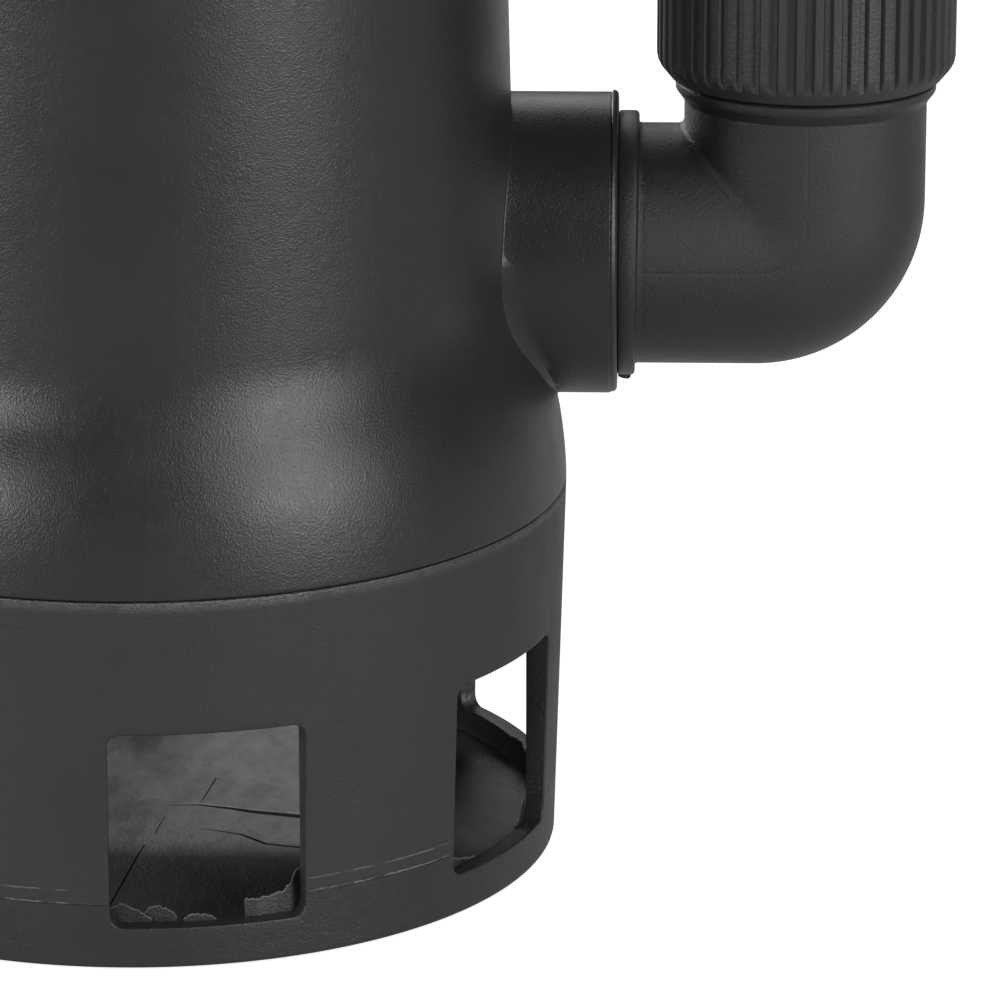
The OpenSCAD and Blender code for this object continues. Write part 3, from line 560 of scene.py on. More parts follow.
def notch_lining(shell, notch):
    """The lining of every window from the outer wall to the inner one, with rounded edges."""
    loops = []
    for beta in np.radians([0, 22.5, 45, 67.5, 90]):
        sink = EDGE * (1 - math.cos(beta))
        loops.append((lambda z, s=sink: foot_skin(z) - s, EDGE * (1 - math.sin(beta))))
    for beta in np.radians([90, 60, 30, 0]):
        lift = INNER_EDGE * (1 - math.cos(beta))
        loops.append((lambda z, s=lift: inside_r(z) + s, INNER_EDGE * (1 - math.sin(beta))))
    ends = []
    for k in range(WINDOW_COUNT):
        centre = WINDOW_ANGLE + k * PITCH
        rows = []
        for radius_at, grow in loops:
            half = notch.outline(radius_at, grow)
            row = [cyl(radius_at(z), centre - a, z) for a, z in half[:0:-1]]
            row += [cyl(radius_at(z), centre + a, z) for a, z in half]
            rows.append(row)
        shell.rows(rows, closed=False)
        ends.append(([row[0] for row in rows], [row[-1] for row in rows]))
    return ends


def bar_row(centre, radius, z, grow):
    """Points along one bar's edge, from a window's side to the next window's."""
    half = bar_angles(radius, grow)
    across = half + [PITCH - a for a in half[-2::-1]]
    return [cyl(radius, centre + a, z) for a in across]


def windowed_wall(shell, notch, end_z):
    """Both walls beside the windows, the windows' linings and the end faces of the bars at end_z."""
    notched_wall(shell, notch, foot_skin, EDGE)
    notched_wall(shell, notch, inside_r, INNER_EDGE)
    ends = notch_lining(shell, notch)
    for k in range(WINDOW_COUNT):
        centre = WINDOW_ANGLE + k * PITCH
        outer = bar_row(centre, foot_skin(end_z), end_z, EDGE)
        inner = bar_row(centre, inside_r(end_z), end_z, INNER_EDGE)
        following = ends[(k + 1) % WINDOW_COUNT][0]
        shell.face(outer + following[1:-1] + inner[::-1] + ends[k][1][-2:0:-1])


SCRAPE = (math.radians(-87.1), math.radians(-64.2))


def scrape_depth(azimuth):
    """How far the seam's edge is scraped back at an azimuth: deepest in the stretch SCRAPE."""
    broad = wobble(math.cos(azimuth) * 2.1, math.sin(azimuth) * 2.1, 3.0)
    fine = wobble(math.cos(azimuth) * 19, math.sin(azimuth) * 19, 8.0)
    depth = 0.12 + 0.4 * broad + 0.2 * fine
    if SCRAPE[0] < azimuth < SCRAPE[1]:
        depth = 0.45 + 0.45 * (azimuth - SCRAPE[0]) / (SCRAPE[1] - SCRAPE[0]) + 0.2 * fine
    return held(depth)


def scrape_width(depth):
    """Height of the scraped band in millimetres."""
    return 0.35 + 0.85 * depth


RING_SPIGOT_R = 76.2
RING_TOP = 77.0
# Height where the inner wall changes from the outer wall's columns to its own
RING_JOIN_Z = 60.0


def foot_ring(z):
    """A full ring of points on the outer wall, in step with the windows' columns."""
    return around_z(foot_skin(z), ring_azimuths(foot_skin(z), EDGE), z)


def pedestal_mesh():
    shell = Shell()
    windowed_wall(shell, Notch(WINDOW_Z1, 1, PLATE_Z + 0.1, 16), PLATE_Z + 0.1)
    # The full ring over the windows, its scraped upper edge and the spigot inside the housing
    azimuths = ring_azimuths(foot_skin(WINDOW_Z1), EDGE)
    rows = [foot_ring(z) for z in [WINDOW_Z1 + EDGE, *np.linspace(WINDOW_Z1 + 2, SEAM_Z - 2.2, 12)]]
    scrape = np.array([scrape_depth(a) for a in azimuths])
    rough = np.array([wobble(a * 90, 0.3, 1.7) for a in azimuths])
    width = scrape_width(scrape) + 0.12 * rough
    for share, sink in ((1.0, 0.0), (0.92, 0.1), (0.5, 0.17), (0.16, 0.24)):
        rows.append(around_z(foot_skin(SEAM_Z - 1) - sink, azimuths, SEAM_Z - 0.1 - width * share))
    spigot = [(SEAM_R - 0.5, SEAM_Z - 0.16), (RING_SPIGOT_R, SEAM_Z - 0.16),
              (RING_SPIGOT_R, RING_TOP - 0.4), (RING_SPIGOT_R - 0.4, RING_TOP),
              (PEDESTAL_IN_R, RING_TOP), (PEDESTAL_IN_R, RING_JOIN_Z)]
    shell.rows(rows + lathe_rows(spigot, azimuths))
    low_in = ring_azimuths(PEDESTAL_IN_R, INNER_EDGE)
    shell.rows([around_z(PEDESTAL_IN_R, azimuths, RING_JOIN_Z)]
               + [around_z(PEDESTAL_IN_R, low_in, z) for z in (RING_JOIN_Z - 1, WINDOW_Z1 + INNER_EDGE)])
    return shell.mesh("pedestal_ring")


FLOOR_Z = 2.6
FIELD_R = 57.0
FIELD_EDGE = [(-14, 12), (-6, 9), (-3, 5), (3, 2.2), (9, 2.4), (15, 0.6), (19, -1), (27, -3), (46, -8)]
SCORES = (
    ([(9, 3), (11, 17)], 0.2, 0.35),
    ([(10, -11), (13, -12), (18, -14), (23, -19), (34, -22)], 0.5, 1.2),
    ([(2.6, -4), (1.4, -14)], 0.2, 0.2),
    ([(0, -20), (-1, -27), (-2.5, -40), (-4.6, -58)], 0.25, 0.45),
    ([(3, 2.0), (9, 2.2), (15, 0.4), (19, -1.2), (27, -3.2), (46, -8.2)], 0.5, 2.6),
)
FOOT_R = 70
HUB_R = 12
POST_BARS = (1, 3, 5, 6)
POST_PATH_R = 66.0
POST_R = 5.0
POST_HOLE_R = 1.8
POST_LOW = 6.0
POST_TOP = 47.7
# Radius, low end and high end of the pads, sinks and holes in the base plate under the posts
PAD = (7.0, 1.5, 5.95)
HEAD_SINK = (4.5, -1, 3.0)
SCREW_HOLE = (1.75, 2, 8)


def post_places():
    """Azimuth and place of each screw post: behind some of the bars."""
    for i in POST_BARS:
        a = WINDOW_ANGLE - PITCH / 2 + i * PITCH
        yield a, POST_PATH_R * math.cos(a), POST_PATH_R * math.sin(a)


def rods_at_posts(*sizes):
    """Upright rods of (radius, low end, high end) at every screw post."""
    return [rod(r, (x, y, z0), (x, y, z1)) for _, x, y in post_places() for r, z0, z1 in sizes]


def base_mesh():
    shell = Shell()
    windowed_wall(shell, Notch(WINDOW_Z0, -1, PLATE_Z, 5), PLATE_Z)
    azimuths = ring_azimuths(foot_skin(3), EDGE)
    edge = foot_skin(0.6)
    foot = [(edge, 0.6), (edge - 0.08, 0.3), (edge - 0.25, 0.1), (edge - 0.5, 0.0), (FOOT_R, 0.0)]
    shell.rows([foot_ring(z) for z in (WINDOW_Z0 - EDGE, 6.0, 4.0, 2.0, 1.0)] + lathe_rows(foot, azimuths))
    shell.cap(around_z(FOOT_R, azimuths, 0.0), (0, 0, 0))
    low_in = ring_azimuths(PEDESTAL_IN_R, INNER_EDGE)
    walls = [around_z(PEDESTAL_IN_R, low_in, z) for z in (WINDOW_Z0 - INNER_EDGE, 5.0, 3.6)]
    line = [(PEDESTAL_IN_R - 0.3, 3.0)]
    line += [(r, FLOOR_Z) for r in (PEDESTAL_IN_R - 1.0, 66, 60, HUB_R)]
    shell.rows(walls + lathe_rows(line, azimuths))
    shell.cap(around_z(HUB_R, azimuths, FLOOR_Z), (0, 0, FLOOR_Z))
    body = boolean(shell.mesh("base_dish"), [field_mesh(), *rods_at_posts(PAD)], "UNION")
    scores = [score_mesh(*score) for score in SCORES]
    return boolean(body, scores + rods_at_posts(HEAD_SINK, SCREW_HOLE))


def prism_mesh(outline, low_z, high_z):
    """A closed slab over an outline of (x, y) between two heights."""
    return capped("prism", [[(x, y, z) for x, y in outline] for z in (low_z, high_z)])


def field_mesh():
    """The raised back part of the floor, with a low step."""
    a0 = math.atan2(FIELD_EDGE[-1][1], FIELD_EDGE[-1][0])
    a1 = math.atan2(FIELD_EDGE[0][1], FIELD_EDGE[0][0])
    rim = [(FIELD_R * math.cos(a), FIELD_R * math.sin(a)) for a in np.linspace(a0, a1, 24)]
    return prism_mesh(FIELD_EDGE + rim, 1.5, FLOOR_Z + 0.15)


def score_mesh(path, first, last):
    """A cutter for a score line in the floor, from its first width to its last."""
    left, right = [], []
    for i, (x, y) in enumerate(path):
        before, after = path[max(0, i - 1)], path[min(len(path) - 1, i + 1)]
        along = Vector((after[0] - before[0], after[1] - before[1])).normalized()
        half = (first + (last - first) * i / (len(path) - 1)) / 2
        left.append((x - along.y * half, y + along.x * half))
        right.append((x + along.y * half, y - along.x * half))
    return prism_mesh(left + right[::-1], FLOOR_Z - 1.2, FLOOR_Z + 4.0)


def bar_mesh(r0, r1, width, z0, z1, azimuth, round_r):
    """A bar along a radius with rounded upper edges."""
    half = width / 2
    section = [(-half, z0), (half, z0)] + arc(half - round_r, z1 - round_r, round_r, 0, 90, 3)
    section += arc(-half + round_r, z1 - round_r, round_r, 90, 180, 3)
    data = capped("bar", [[(r, y, z) for y, z in section] for r in (r0, r1)])
    turn = math.cos(azimuth), math.sin(azimuth)
    for v in data.vertices:
        x, y = v.co.x, v.co.y
        v.co.x, v.co.y = x * turn[0] - y * turn[1], x * turn[1] + y * turn[0]
    return data


FLASH = (
    (5, 0.15, [(0.0, 2.6), (0.05, 3.4), (0.1, 3.1), (0.13, 2.4), (0.17, 1.7), (0.215, 0.5)]),
    (5, 0.9, [(0.17, 1.2), (0.2, 2.4), (0.25, 2.7), (0.3, 2.2), (0.33, 1.5), (0.345, 0.5)]),
    (5, 0.0, [(0.38, 0.5), (0.42, 1.3), (0.48, 1.2), (0.52, 0.8), (0.545, 0.3)]),
    (5, 0.3, [(0.7, 2.9), (0.708, 3.3), (0.76, 3.1), (0.85, 3.4), (0.92, 4.0), (0.96, 5.6), (0.985, 7.3),
              (1.01, 7.6)]),
    (6, 0.2, [(0.0, 3.2), (0.03, 3.4), (0.1, 2.0), (0.2, 0.9), (0.3, 0.4)]),
    (6, 0.3, [(0.8, 0.4), (0.88, 1.6), (0.95, 2.8), (1.01, 4.0)]),
    (0, 0.3, [(0.1, 0.5), (0.2, 1.2), (0.32, 1.0), (0.4, 0.4)]),
    (2, 0.2, [(0.55, 0.4), (0.7, 1.4), (0.85, 1.8), (1.0, 2.2)]),
    (3, 0.3, [(0.0, 2.6), (0.1, 1.8), (0.25, 1.2), (0.4, 0.5)]),
)


def flash_mesh(name, foot, crest, thick):
    """Films of plastic left standing on some windows' lower inner edges, between two heights.

    foot and crest give the lower and upper height of a stretch from the height of the film's torn edge.
    An entry of FLASH is (window, how far inwards it stands, [(share of the window's width, height)]).
    """
    shells = []
    for window, sink, outline in FLASH:
        centre = WINDOW_ANGLE + window * PITCH
        half = edge_azimuth(PEDESTAL_IN_R, 0.0)
        share, height = zip(*outline)
        across = np.linspace(share[0], share[-1], int((share[-1] - share[0]) * 150) + 3)
        rows = [[], [], [], []]
        for q, top in zip(across, np.interp(across, share, height)):
            torn = max(0.3, top + 0.3 * wobble(q * 60, window, 2.5) + 0.14 * wobble(q * 190, window, 6.5))
            for row, side, z in zip(rows, (0, 0, 1, 1), (foot(torn), crest(torn), crest(torn), foot(torn))):
                lean = 0.14 * max(0.0, z) + 0.4 * wobble(q * 11, window, 9.0)
                r = PEDESTAL_IN_R + 0.35 - sink - lean + (side - 0.5) * thick
                row.append(cyl(r, centre - half + 2 * half * q, WINDOW_Z0 + z))
        shell = Shell()
        shell.rows(np.array(rows + [rows[0]]), closed=False)
        for end in (0, -1):
            shell.face([row[end] for row in rows])
        shells.append(shell.mesh("film"))
    return joined(name, shells)


def film_bodies():
    """The films up to just below their torn edges."""
    return flash_mesh("window_flash", lambda top: -0.4, lambda top: top - 0.14, 0.2)


def film_edges():
    """The films' torn edges, a little thicker and lighter."""
    return flash_mesh("flash_edges", lambda top: top - 0.16, lambda top: top + 0.04, 0.3)


def posts_mesh():
    """The screw posts inside the pedestal with their webs to the wall."""
    parts = []
    for a, x, y in post_places():
        line = [(POST_R, POST_LOW), (POST_R, POST_TOP), (POST_HOLE_R, POST_TOP), (POST_HOLE_R, POST_LOW)]
        post = lathe(line, 40).mesh("post")
        post.transform(Matrix.Translation(Vector((x, y, 0)) * MM))
        web = bar_mesh(POST_PATH_R + POST_R - 1.2, PEDESTAL_IN_R + 0.6, 4.0, PLATE_Z + 0.2,
                       POST_TOP - 0.3, a, 0.2)
        parts.append(boolean(post, [web], "UNION"))
    return joined("pedestal_posts", parts)


def joined(name, parts):
    """Several meshes as one."""
    work = bmesh.new()
    for part in parts:
        work.from_mesh(part)
    data = bpy.data.meshes.new(name)
    work.to_mesh(data)
    work.free()
    return tidy(data)


# -------------------- outlet elbow
ELBOW_COLUMNS = 144
INNER_FILLET = 1.5
FILLET_FADE = 2.5


def bend_fillet(radius, t):
    """Bend radius of the line at angle t round the tube: the torus, and a small fillet at its inside."""
    r = BEND_R - radius * math.cos(t)
    return 0.5 * (r + INNER_FILLET + math.hypot(r - INNER_FILLET, FILLET_FADE))


def level_point(x, r, t):
    """A point of the elbow's level leg, at angle t round the tube from the inside of the bend."""
    return (x, OUTLET_Y - r * math.sin(t), OUTLET_Z + r * math.cos(t))


def upright_point(z, r, t):
    """A point of the elbow's upright leg, at angle t round the tube from the inside of the bend."""
    return (LEG_X - r * math.cos(t), OUTLET_Y - r * math.sin(t), z)


def parting_groove(t, along):
    """Depth of the mould's parting line at both sides of the tube, broken here and there."""
    near = min(abs(t - math.pi / 2), abs(t - 3 * math.pi / 2)) / math.radians(0.55)
    if near >= 1:
        return 0.0
    return 0.09 * (1 - near) * held(0.75 + 1.1 * wobble(along * 0.45, 4.4, t))


def bend_rows(radius, turns, steps, x_start, z_end, parted=False):
    """Rows round the bend of a tube: level line, arc, upright line, for each angle round the tube."""
    straight = 24 if parted else 8
    columns = []
    for t in turns:
        bend = bend_fillet(radius, t)
        x_line = LEG_X - radius * math.cos(t)
        z_line = OUTLET_Z + radius * math.cos(t)
        y = OUTLET_Y - radius * math.sin(t)
        reach = x_line - bend - x_start
        column = [(x_start + reach * i / straight, y, z_line) for i in range(straight + 1)]
        for i in range(1, steps + 1):
            a = math.pi / 2 * i / steps
            column.append((x_line - bend + bend * math.sin(a), y, z_line + bend - bend * math.cos(a)))
        rise = z_end - z_line - bend
        column += [(x_line, y, z_line + bend + rise * i / straight) for i in range(1, straight + 1)]
        if parted:
            side = math.copysign(1, math.sin(t))
            column = [(x, y + side * parting_groove(t, x + z), z) for x, y, z in column]
        columns.append(column)
    return np.array(columns).transpose(1, 0, 2)


def tube_turns():
    """Angles round the elbow, closer together at both parting lines."""
    fine = np.radians([-0.6, -0.3, -0.12, 0.12, 0.3, 0.6])
    return np.sort(np.concatenate([full_turn(ELBOW_COLUMNS), math.pi / 2 + fine, 3 * math.pi / 2 + fine]))


def thread_rows(turns):
    """The threaded end: a right-hand helix cut into the wall, run out at both ends."""
    rows = []
    z = THREAD_Z + 0.6
    while z < THREAD_TOP - 0.2:
        full = held(min((z - THREAD_Z - 0.6) / 1.2, THREAD_TOP - 0.3 - z))
        row = []
        for t in turns:
            phase = ((z - THREAD_Z) / THREAD_PITCH - (math.pi + t) / math.tau) % 1.0
            wave = held((abs(phase - 0.5) * 4 - 0.45) / 1.1)
            row.append(upright_point(z, THREAD_R - 0.02 - THREAD_DEPTH * wave * full - 0.25 * (1 - full), t))
        rows.append(row)
        z += THREAD_PITCH / THREAD_STEPS
    return rows


def collar_tilt(x, t):
    """The collar's outer face isn't quite square: it leans out at the top and in at the bottom."""
    return 0.3 * math.cos(t) - 0.15 if x > BOSS_X + COLLAR_W / 2 else 0.0


def elbow_mesh():
    ring = tube_turns()
    x_in = low("outlet_elbow").x
    face = BOSS_X + 0.05
    back = BOSS_X + COLLAR_W
    spigot = [(x_in, ELBOW_BORE_R + 0.8), (x_in, SPIGOT_R - 0.5), (x_in + 0.5, SPIGOT_R),
              *groove(*SEAL_GROOVE, SPIGOT_R, 1.4),
              *groove(SNAP_RING[0] - 0.1, SNAP_RING[1] + 0.1, SPIGOT_R, SNAP_DEPTH),
              (face, SPIGOT_R), (face, COLLAR_R - 0.5), (face + 0.12, COLLAR_R - 0.15),
              (face + 0.45, COLLAR_R), (back - 0.8, COLLAR_R), (back - 0.35, COLLAR_R - 0.12),
              (back - 0.1, COLLAR_R - 0.45), (back, COLLAR_R - 0.9), (back, ELBOW_R + 0.35),
              (back + 0.1, ELBOW_R + 0.12), (back + 0.4, ELBOW_R)]
    rows = [[level_point(x + collar_tilt(x, t), r, t) for t in ring] for x, r in spigot]
    rows += list(bend_rows(ELBOW_R, ring, 28, BOSS_X + 5.0, RING_Z - 2.4, parted=True))
    collar = [(RING_Z - 2.0, ELBOW_R), (RING_Z - 1.7, ELBOW_R + 0.25), (RING_Z - 0.4, RING_R - 0.55),
              (RING_Z, RING_R - 0.2), (RING_Z + 0.4, RING_R), (THREAD_Z - 0.45, RING_R),
              (THREAD_Z - 0.1, RING_R - 0.35), (THREAD_Z, THREAD_R - 1.0), (THREAD_Z + 0.5, THREAD_R - 1.0)]
    rows += [[upright_point(z, r, t) for t in ring] for z, r in collar]
    rows += thread_rows(ring)
    mouth = [(THREAD_TOP, THREAD_R - 1.2), (THREAD_TOP, ELBOW_BORE_R + 0.6), (THREAD_TOP - 0.6, ELBOW_BORE_R)]
    rows += [[upright_point(z, r, t) for t in ring] for z, r in mouth]
    rows += list(bend_rows(ELBOW_BORE_R, ring, 16, x_in + 0.8, THREAD_TOP - 2))[::-1]
    rows.append(rows[0])
    shell = Shell()
    shell.rows(rows)
    low_x, low_z = BOSS_X + 0.15, OUTLET_Z - COLLAR_R
    lug = [(low_x, low_z + 1.2), (low_x, low_z - 0.5), (low_x + 0.9, low_z - 0.9), (low_x + 2.0, low_z - 1.0),
           (low_x + 2.4, low_z - 0.6), (low_x + 2.6, low_z + 1.2)]
    tab = capped("lug", [[(x, OUTLET_Y + side, z) for x, z in lug] for side in (-3, 3)])
    return boolean(shell.mesh("outlet_elbow_tube"), [tab], "UNION")


# -------------------- union nut and hose adapter
def nut_envelope(z):
    """Radius that the grip ribs reach at height z: a cone that turns over into the straight side."""
    line = [(NUT_LOW, NUT_R - 3.0), (NUT_LOW + 0.25, NUT_R - 2.6), (NUT_LOW + 2.5, NUT_R - 0.75),
            (NUT_LOW + 3.4, NUT_R - 0.28), (NUT_LOW + 4.6, NUT_R - 0.06), (NUT_LOW + 6, NUT_R),
            (NUT_HIGH - 1.7, NUT_R), (NUT_HIGH - 0.7, NUT_R - 0.5), (NUT_HIGH, NUT_R - 1.5)]
    return float(np.interp(z, [p[0] for p in line], [p[1] for p in line]))


def rib_height(share):
    """Height of the rib's section, from 0 in the groove to 1 on the crest, across one pitch."""
    from_crest = abs(share - 0.5) * 2
    edge = held((from_crest - 0.42) / 0.26)
    return 1 - edge * edge * (3 - 2 * edge)


def nut_mesh():
    count = RIB_COUNT * RIB_STEPS
    angles = full_turn(count)
    height = np.array([rib_height((k % RIB_STEPS) / RIB_STEPS) for k in range(count)])
    uneven = np.array([0.06 * wobble((k // RIB_STEPS) * 3.7, 5.1) for k in range(count)])
    wall = NUT_R - RIB_DEPTH * (1 - height) + uneven * height - 0.07
    levels = [NUT_LOW, NUT_LOW + 0.25, *np.linspace(NUT_LOW + 0.5, NUT_LOW + 6, 24),
              *np.linspace(NUT_LOW + 7, NUT_HIGH - 2.2, 16), *np.linspace(NUT_HIGH - 1.9, NUT_HIGH, 8)]
    rows = [around_z(np.minimum(wall, nut_envelope(z)), angles, z, LEG) for z in levels]
    flange = THREAD_TOP + 6.4
    bore = [(21.2, NUT_HIGH), (20.4, NUT_HIGH - 0.6), (20.35, flange), (THREAD_R + 0.08, flange - 0.1),
            (THREAD_R + 0.08, NUT_LOW + 0.5), (THREAD_R + 0.5, NUT_LOW)]
    rows += lathe_rows(bore, angles, LEG)
    rows.append(rows[0])
    shell = Shell()
    shell.rows(rows)
    return shell.mesh("union_nut_ribbed", 40)


STEP_Z = 177.0
STEP_H = 22.0
STEP_PLAIN = 11.0
STEP_R = (19.0, 16.0, 12.7)
BARB = 0.9
TAIL_BORE_R = 9.5


def adapter_mesh():
    z0 = low("hose_adapter").z
    top = high("hose_adapter").z
    line = [(23.3, z0), (23.6, z0 + 0.3), (23.6, z0 + 3.6), (23.2, z0 + 4), (20.9, z0 + 4), (20.2, z0 + 4.3),
            (20.0, z0 + 5.0), (20.0, STEP_Z - 1.8), (19.6, STEP_Z - 1.1)]
    for i, r in enumerate(STEP_R):
        z = STEP_Z + i * STEP_H
        edge = z + STEP_PLAIN
        tip = edge + (STEP_H - STEP_PLAIN) / 2
        line += [(r - 0.25, z - 0.05), (r, z + 0.35), (r, edge - 0.3), (r - 0.3, edge),
                 (r - BARB, edge + 0.1), (r - BARB, edge + 1.0), (r - 0.3, edge + 1.1), (r, edge + 1.4),
                 (r - BARB + 0.1, tip - 0.1), (r - 0.3, tip), (r, tip + 0.3),
                 (r - BARB + 0.1, z + STEP_H - 1.0), (r - BARB - 0.2, z + STEP_H - 0.5)]
    line = line[:-1] + [(STEP_R[2] - 1.4, top - 0.3), (STEP_R[2] - 1.8, top), (TAIL_BORE_R + 0.5, top),
                        (TAIL_BORE_R, top - 0.5)]
    neck = [STEP_Z + i * STEP_H - 4 for i in (1, 2)]
    line += [(TAIL_BORE_R, neck[1] + 0.5), (STEP_R[1] - 3, neck[1] - 0.5), (STEP_R[1] - 3, neck[0] + 0.5),
             (STEP_R[0] - 3, neck[0] - 0.5), (STEP_R[0] - 3, z0)]
    return lathe(line, 160, LEG).mesh("stepped_adapter", 28)


# -------------------- materials
def material(name):
    """A new material: returns (material, node tree, principled shader)."""
    made = bpy.data.materials.new(name)
    made.use_nodes = True
    return made, made.node_tree, made.node_tree.nodes["Principled BSDF"]


def add(tree, kind, *sources, **settings):
    """A shader node: capital settings are sockets, and its first sockets are linked to the sources."""
    made = tree.nodes.new("ShaderNode" + kind)
    for key, value in settings.items():
        if key[0].isupper():
            made.inputs[key.replace("_", " ")].default_value = value
        else:
            setattr(made, key, value)
    for index, source in enumerate(sources):
        tree.links.new(source, made.inputs[index])
    return made


def place_in_mm(tree, scale=(1, 1, 1)):
    """The point's place in millimetres, stretched by scale."""
    coordinates = add(tree, "TexCoord")
    mapping = add(tree, "Mapping", coordinates.outputs["Object"])
    mapping.inputs["Scale"].default_value = [s / MM for s in scale]
    return mapping.outputs["Vector"]


def noise_at(tree, place, scale, detail=3.0, roughness=0.5, distortion=0.0):
    made = add(tree, "TexNoise", place, Scale=scale, Detail=detail, Roughness=roughness,
               Distortion=distortion)
    return made.outputs["Fac"]


def remap(tree, value, *limits):
    """A value moved from one range to another: limits are low and high in, low and high out."""
    made = add(tree, "MapRange", value)
    for key, number in zip(("From Min", "From Max", "To Min", "To Max"), limits):
        made.inputs[key].default_value = number
    return made.outputs["Result"]


def product(tree, *values):
    """The product of several values, held between 0 and 1."""
    result = values[0]
    for value in values[1:]:
        result = add(tree, "Math", result, value, operation="MULTIPLY", use_clamp=True).outputs[0]
    return result


def blend_colours(tree, factor, first, second):
    mix = add(tree, "Mix", factor, data_type="RGBA")
    for key, colour in ((6, first), (7, second)):
        if hasattr(colour, "is_output"):
            tree.links.new(colour, mix.inputs[key])
        else:
            mix.inputs[key].default_value = (*colour, 1)
    return mix.outputs[2]


def bump(tree, height, depth_mm, normal=None):
    made = add(tree, "Bump", Distance=depth_mm * MM)
    tree.links.new(height, made.inputs["Height"])
    if normal:
        tree.links.new(normal, made.inputs["Normal"])
    return made.outputs["Normal"]


def finish(tree, shader, colour, roughness, normal, metallic=0.0):
    """Feeds a shader; the roughness is a number or a node's output."""
    tree.links.new(colour, shader.inputs["Base Color"])
    tree.links.new(normal, shader.inputs["Normal"])
    shader.inputs["Metallic"].default_value = metallic
    if hasattr(roughness, "is_output"):
        tree.links.new(roughness, shader.inputs["Roughness"])
    else:
        shader.inputs["Roughness"].default_value = roughness


def grey(value, tint=0.0):
    return (value, value * (1 + tint * 0.5), value * (1 + tint))


def moulded_plastic(name, base, cell, depth, rough, scuffs=0.0, fine=0.02, scraped=False, dust_and_painted_light=False,
                    lines=()):
    """Black plastic from a grained mould: leather cells, fine grain, faint clouds, light scuffs.

    base is the grey of the plastic, cell and depth the leather's size and relief in millimetres, rough the
    range of its roughness and fine the relief of the fine grain. scraped, the dust switch and lines add torn
    edges, dust inside the base with painted light and painted shade over it, and thin light bands at (height,
    width).
    """
    made, tree, shader = material(name)
    place = place_in_mm(tree)
    warp = add(tree, "TexNoise", place, Scale=0.35, Detail=2.0)
    scaled = add(tree, "VectorMath", warp.outputs["Color"], operation="SCALE", Scale=1.6)
    shifted = add(tree, "VectorMath", place, scaled.outputs[0], operation="ADD").outputs[0]
    cells = add(tree, "TexVoronoi", shifted, feature="SMOOTH_F1", Scale=1.0 / cell, Smoothness=0.6)
    relief = bump(tree, cells.outputs["Distance"], depth * 2.2)
    relief = bump(tree, noise_at(tree, shifted, 1.3 / cell, 2.0, 0.5, 0.6), depth * 1.6, relief)
    relief = bump(tree, noise_at(tree, place, 4.5, 2.0, 0.6), fine, relief)
    clouds = remap(tree, noise_at(tree, place, 0.035, 4.0, 0.55), 0.3, 0.7, 0, 1)
    colour = blend_colours(tree, clouds, grey(base * 0.88), grey(base * 1.1, 0.02))
    roughness = remap(tree, noise_at(tree, place, 0.11, 4.0, 0.6), 0.3, 0.7, *rough)
    if scuffs:
        marks = noise_at(tree, place_in_mm(tree, (1, 1, 0.25)), 0.9, 5.0, 0.75, 0.6)
        colour = blend_colours(tree, remap(tree, marks, 0.69, 0.8, 0, scuffs), colour, grey(0.16))
    if scraped:
        mark = add(tree, "Attribute", attribute_name="scraped").outputs["Fac"]
        flecks = noise_at(tree, place_in_mm(tree, (1, 1, 3)), 2.2, 4.0, 0.7)
        amount = product(tree, mark, remap(tree, flecks, 0.42, 0.58, 0.0, 1.0))
        colour = blend_colours(tree, amount, colour, grey(0.15))
        relief = bump(tree, flecks, 0.12, relief)
    # Dust on the floor inside the base: its lighter places are also painted light, its thin places painted
    # shade.
    if dust_and_painted_light:
        dust = noise_at(tree, place_in_mm(tree, (1, 0.6, 1)), 0.22, 6.0, 0.68, 0.4)
        amount = product(tree, dust_and_painted_light_place(tree), remap(tree, dust, 0.3, 0.7, 0.45, 1.0))
        colour = blend_colours(tree, amount, colour, grey(DUST_AND_LIGHT_GREY))
        relief = bump(tree, dust, 0.3, relief)
    for height, width in lines:
        colour = blend_colours(tree, line_mask(tree, height, width), colour, grey(0.14))
    finish(tree, shader, colour, roughness, relief)
    return made


def dust_and_painted_light_place(tree):
    """Where dust and painted light lie on the floor inside the base: not in its scores, lighter at the back
    as painted light through the windows, little in front and at the right, where the floor is left dark as
    painted shade.
    """
    split = add(tree, "SeparateXYZ", place_in_mm(tree))
    radius = add(tree, "VectorMath", place_in_mm(tree, (1, 1, 0)), operation="LENGTH")
    inside = remap(tree, radius.outputs["Value"], PEDESTAL_IN_R - 1.0, PEDESTAL_IN_R - 0.4, 1, 0)
    over = remap(tree, split.outputs["Z"], FLOOR_Z - 0.12, FLOOR_Z - 0.02, 0, 1)
    under = remap(tree, split.outputs["Z"], FLOOR_Z + 0.9, FLOOR_Z + 1.4, 1, 0)
    # Painted shade: the floor is kept darker towards the front.
    behind = remap(tree, split.outputs["Y"], -27, -17, 0.1, 1)
    # Painted shade: the floor is kept darker at the right, behind a bar.
    left = remap(tree, split.outputs["X"], 40, 54, 1, 0.1)
    return product(tree, inside, over, under, behind, left)


def line_mask(tree, height, width):
    """A thin broken band round the base at one height in millimetres."""
    place = place_in_mm(tree)
    level = add(tree, "SeparateXYZ", place).outputs["Z"]
    ragged = remap(tree, noise_at(tree, place, 0.9, 4.0, 0.7), 0.3, 0.7, height - width, height + width)
    off = add(tree, "Math", level, ragged, operation="SUBTRACT")
    size = add(tree, "Math", off.outputs[0], operation="ABSOLUTE")
    band = remap(tree, size.outputs[0], width * 0.5, width, 1, 0)
    gaps = noise_at(tree, place_in_mm(tree, (1, 1, 0.1)), 0.16, 5.0, 0.7)
    return product(tree, band, remap(tree, gaps, 0.44, 0.56, 0, 1))


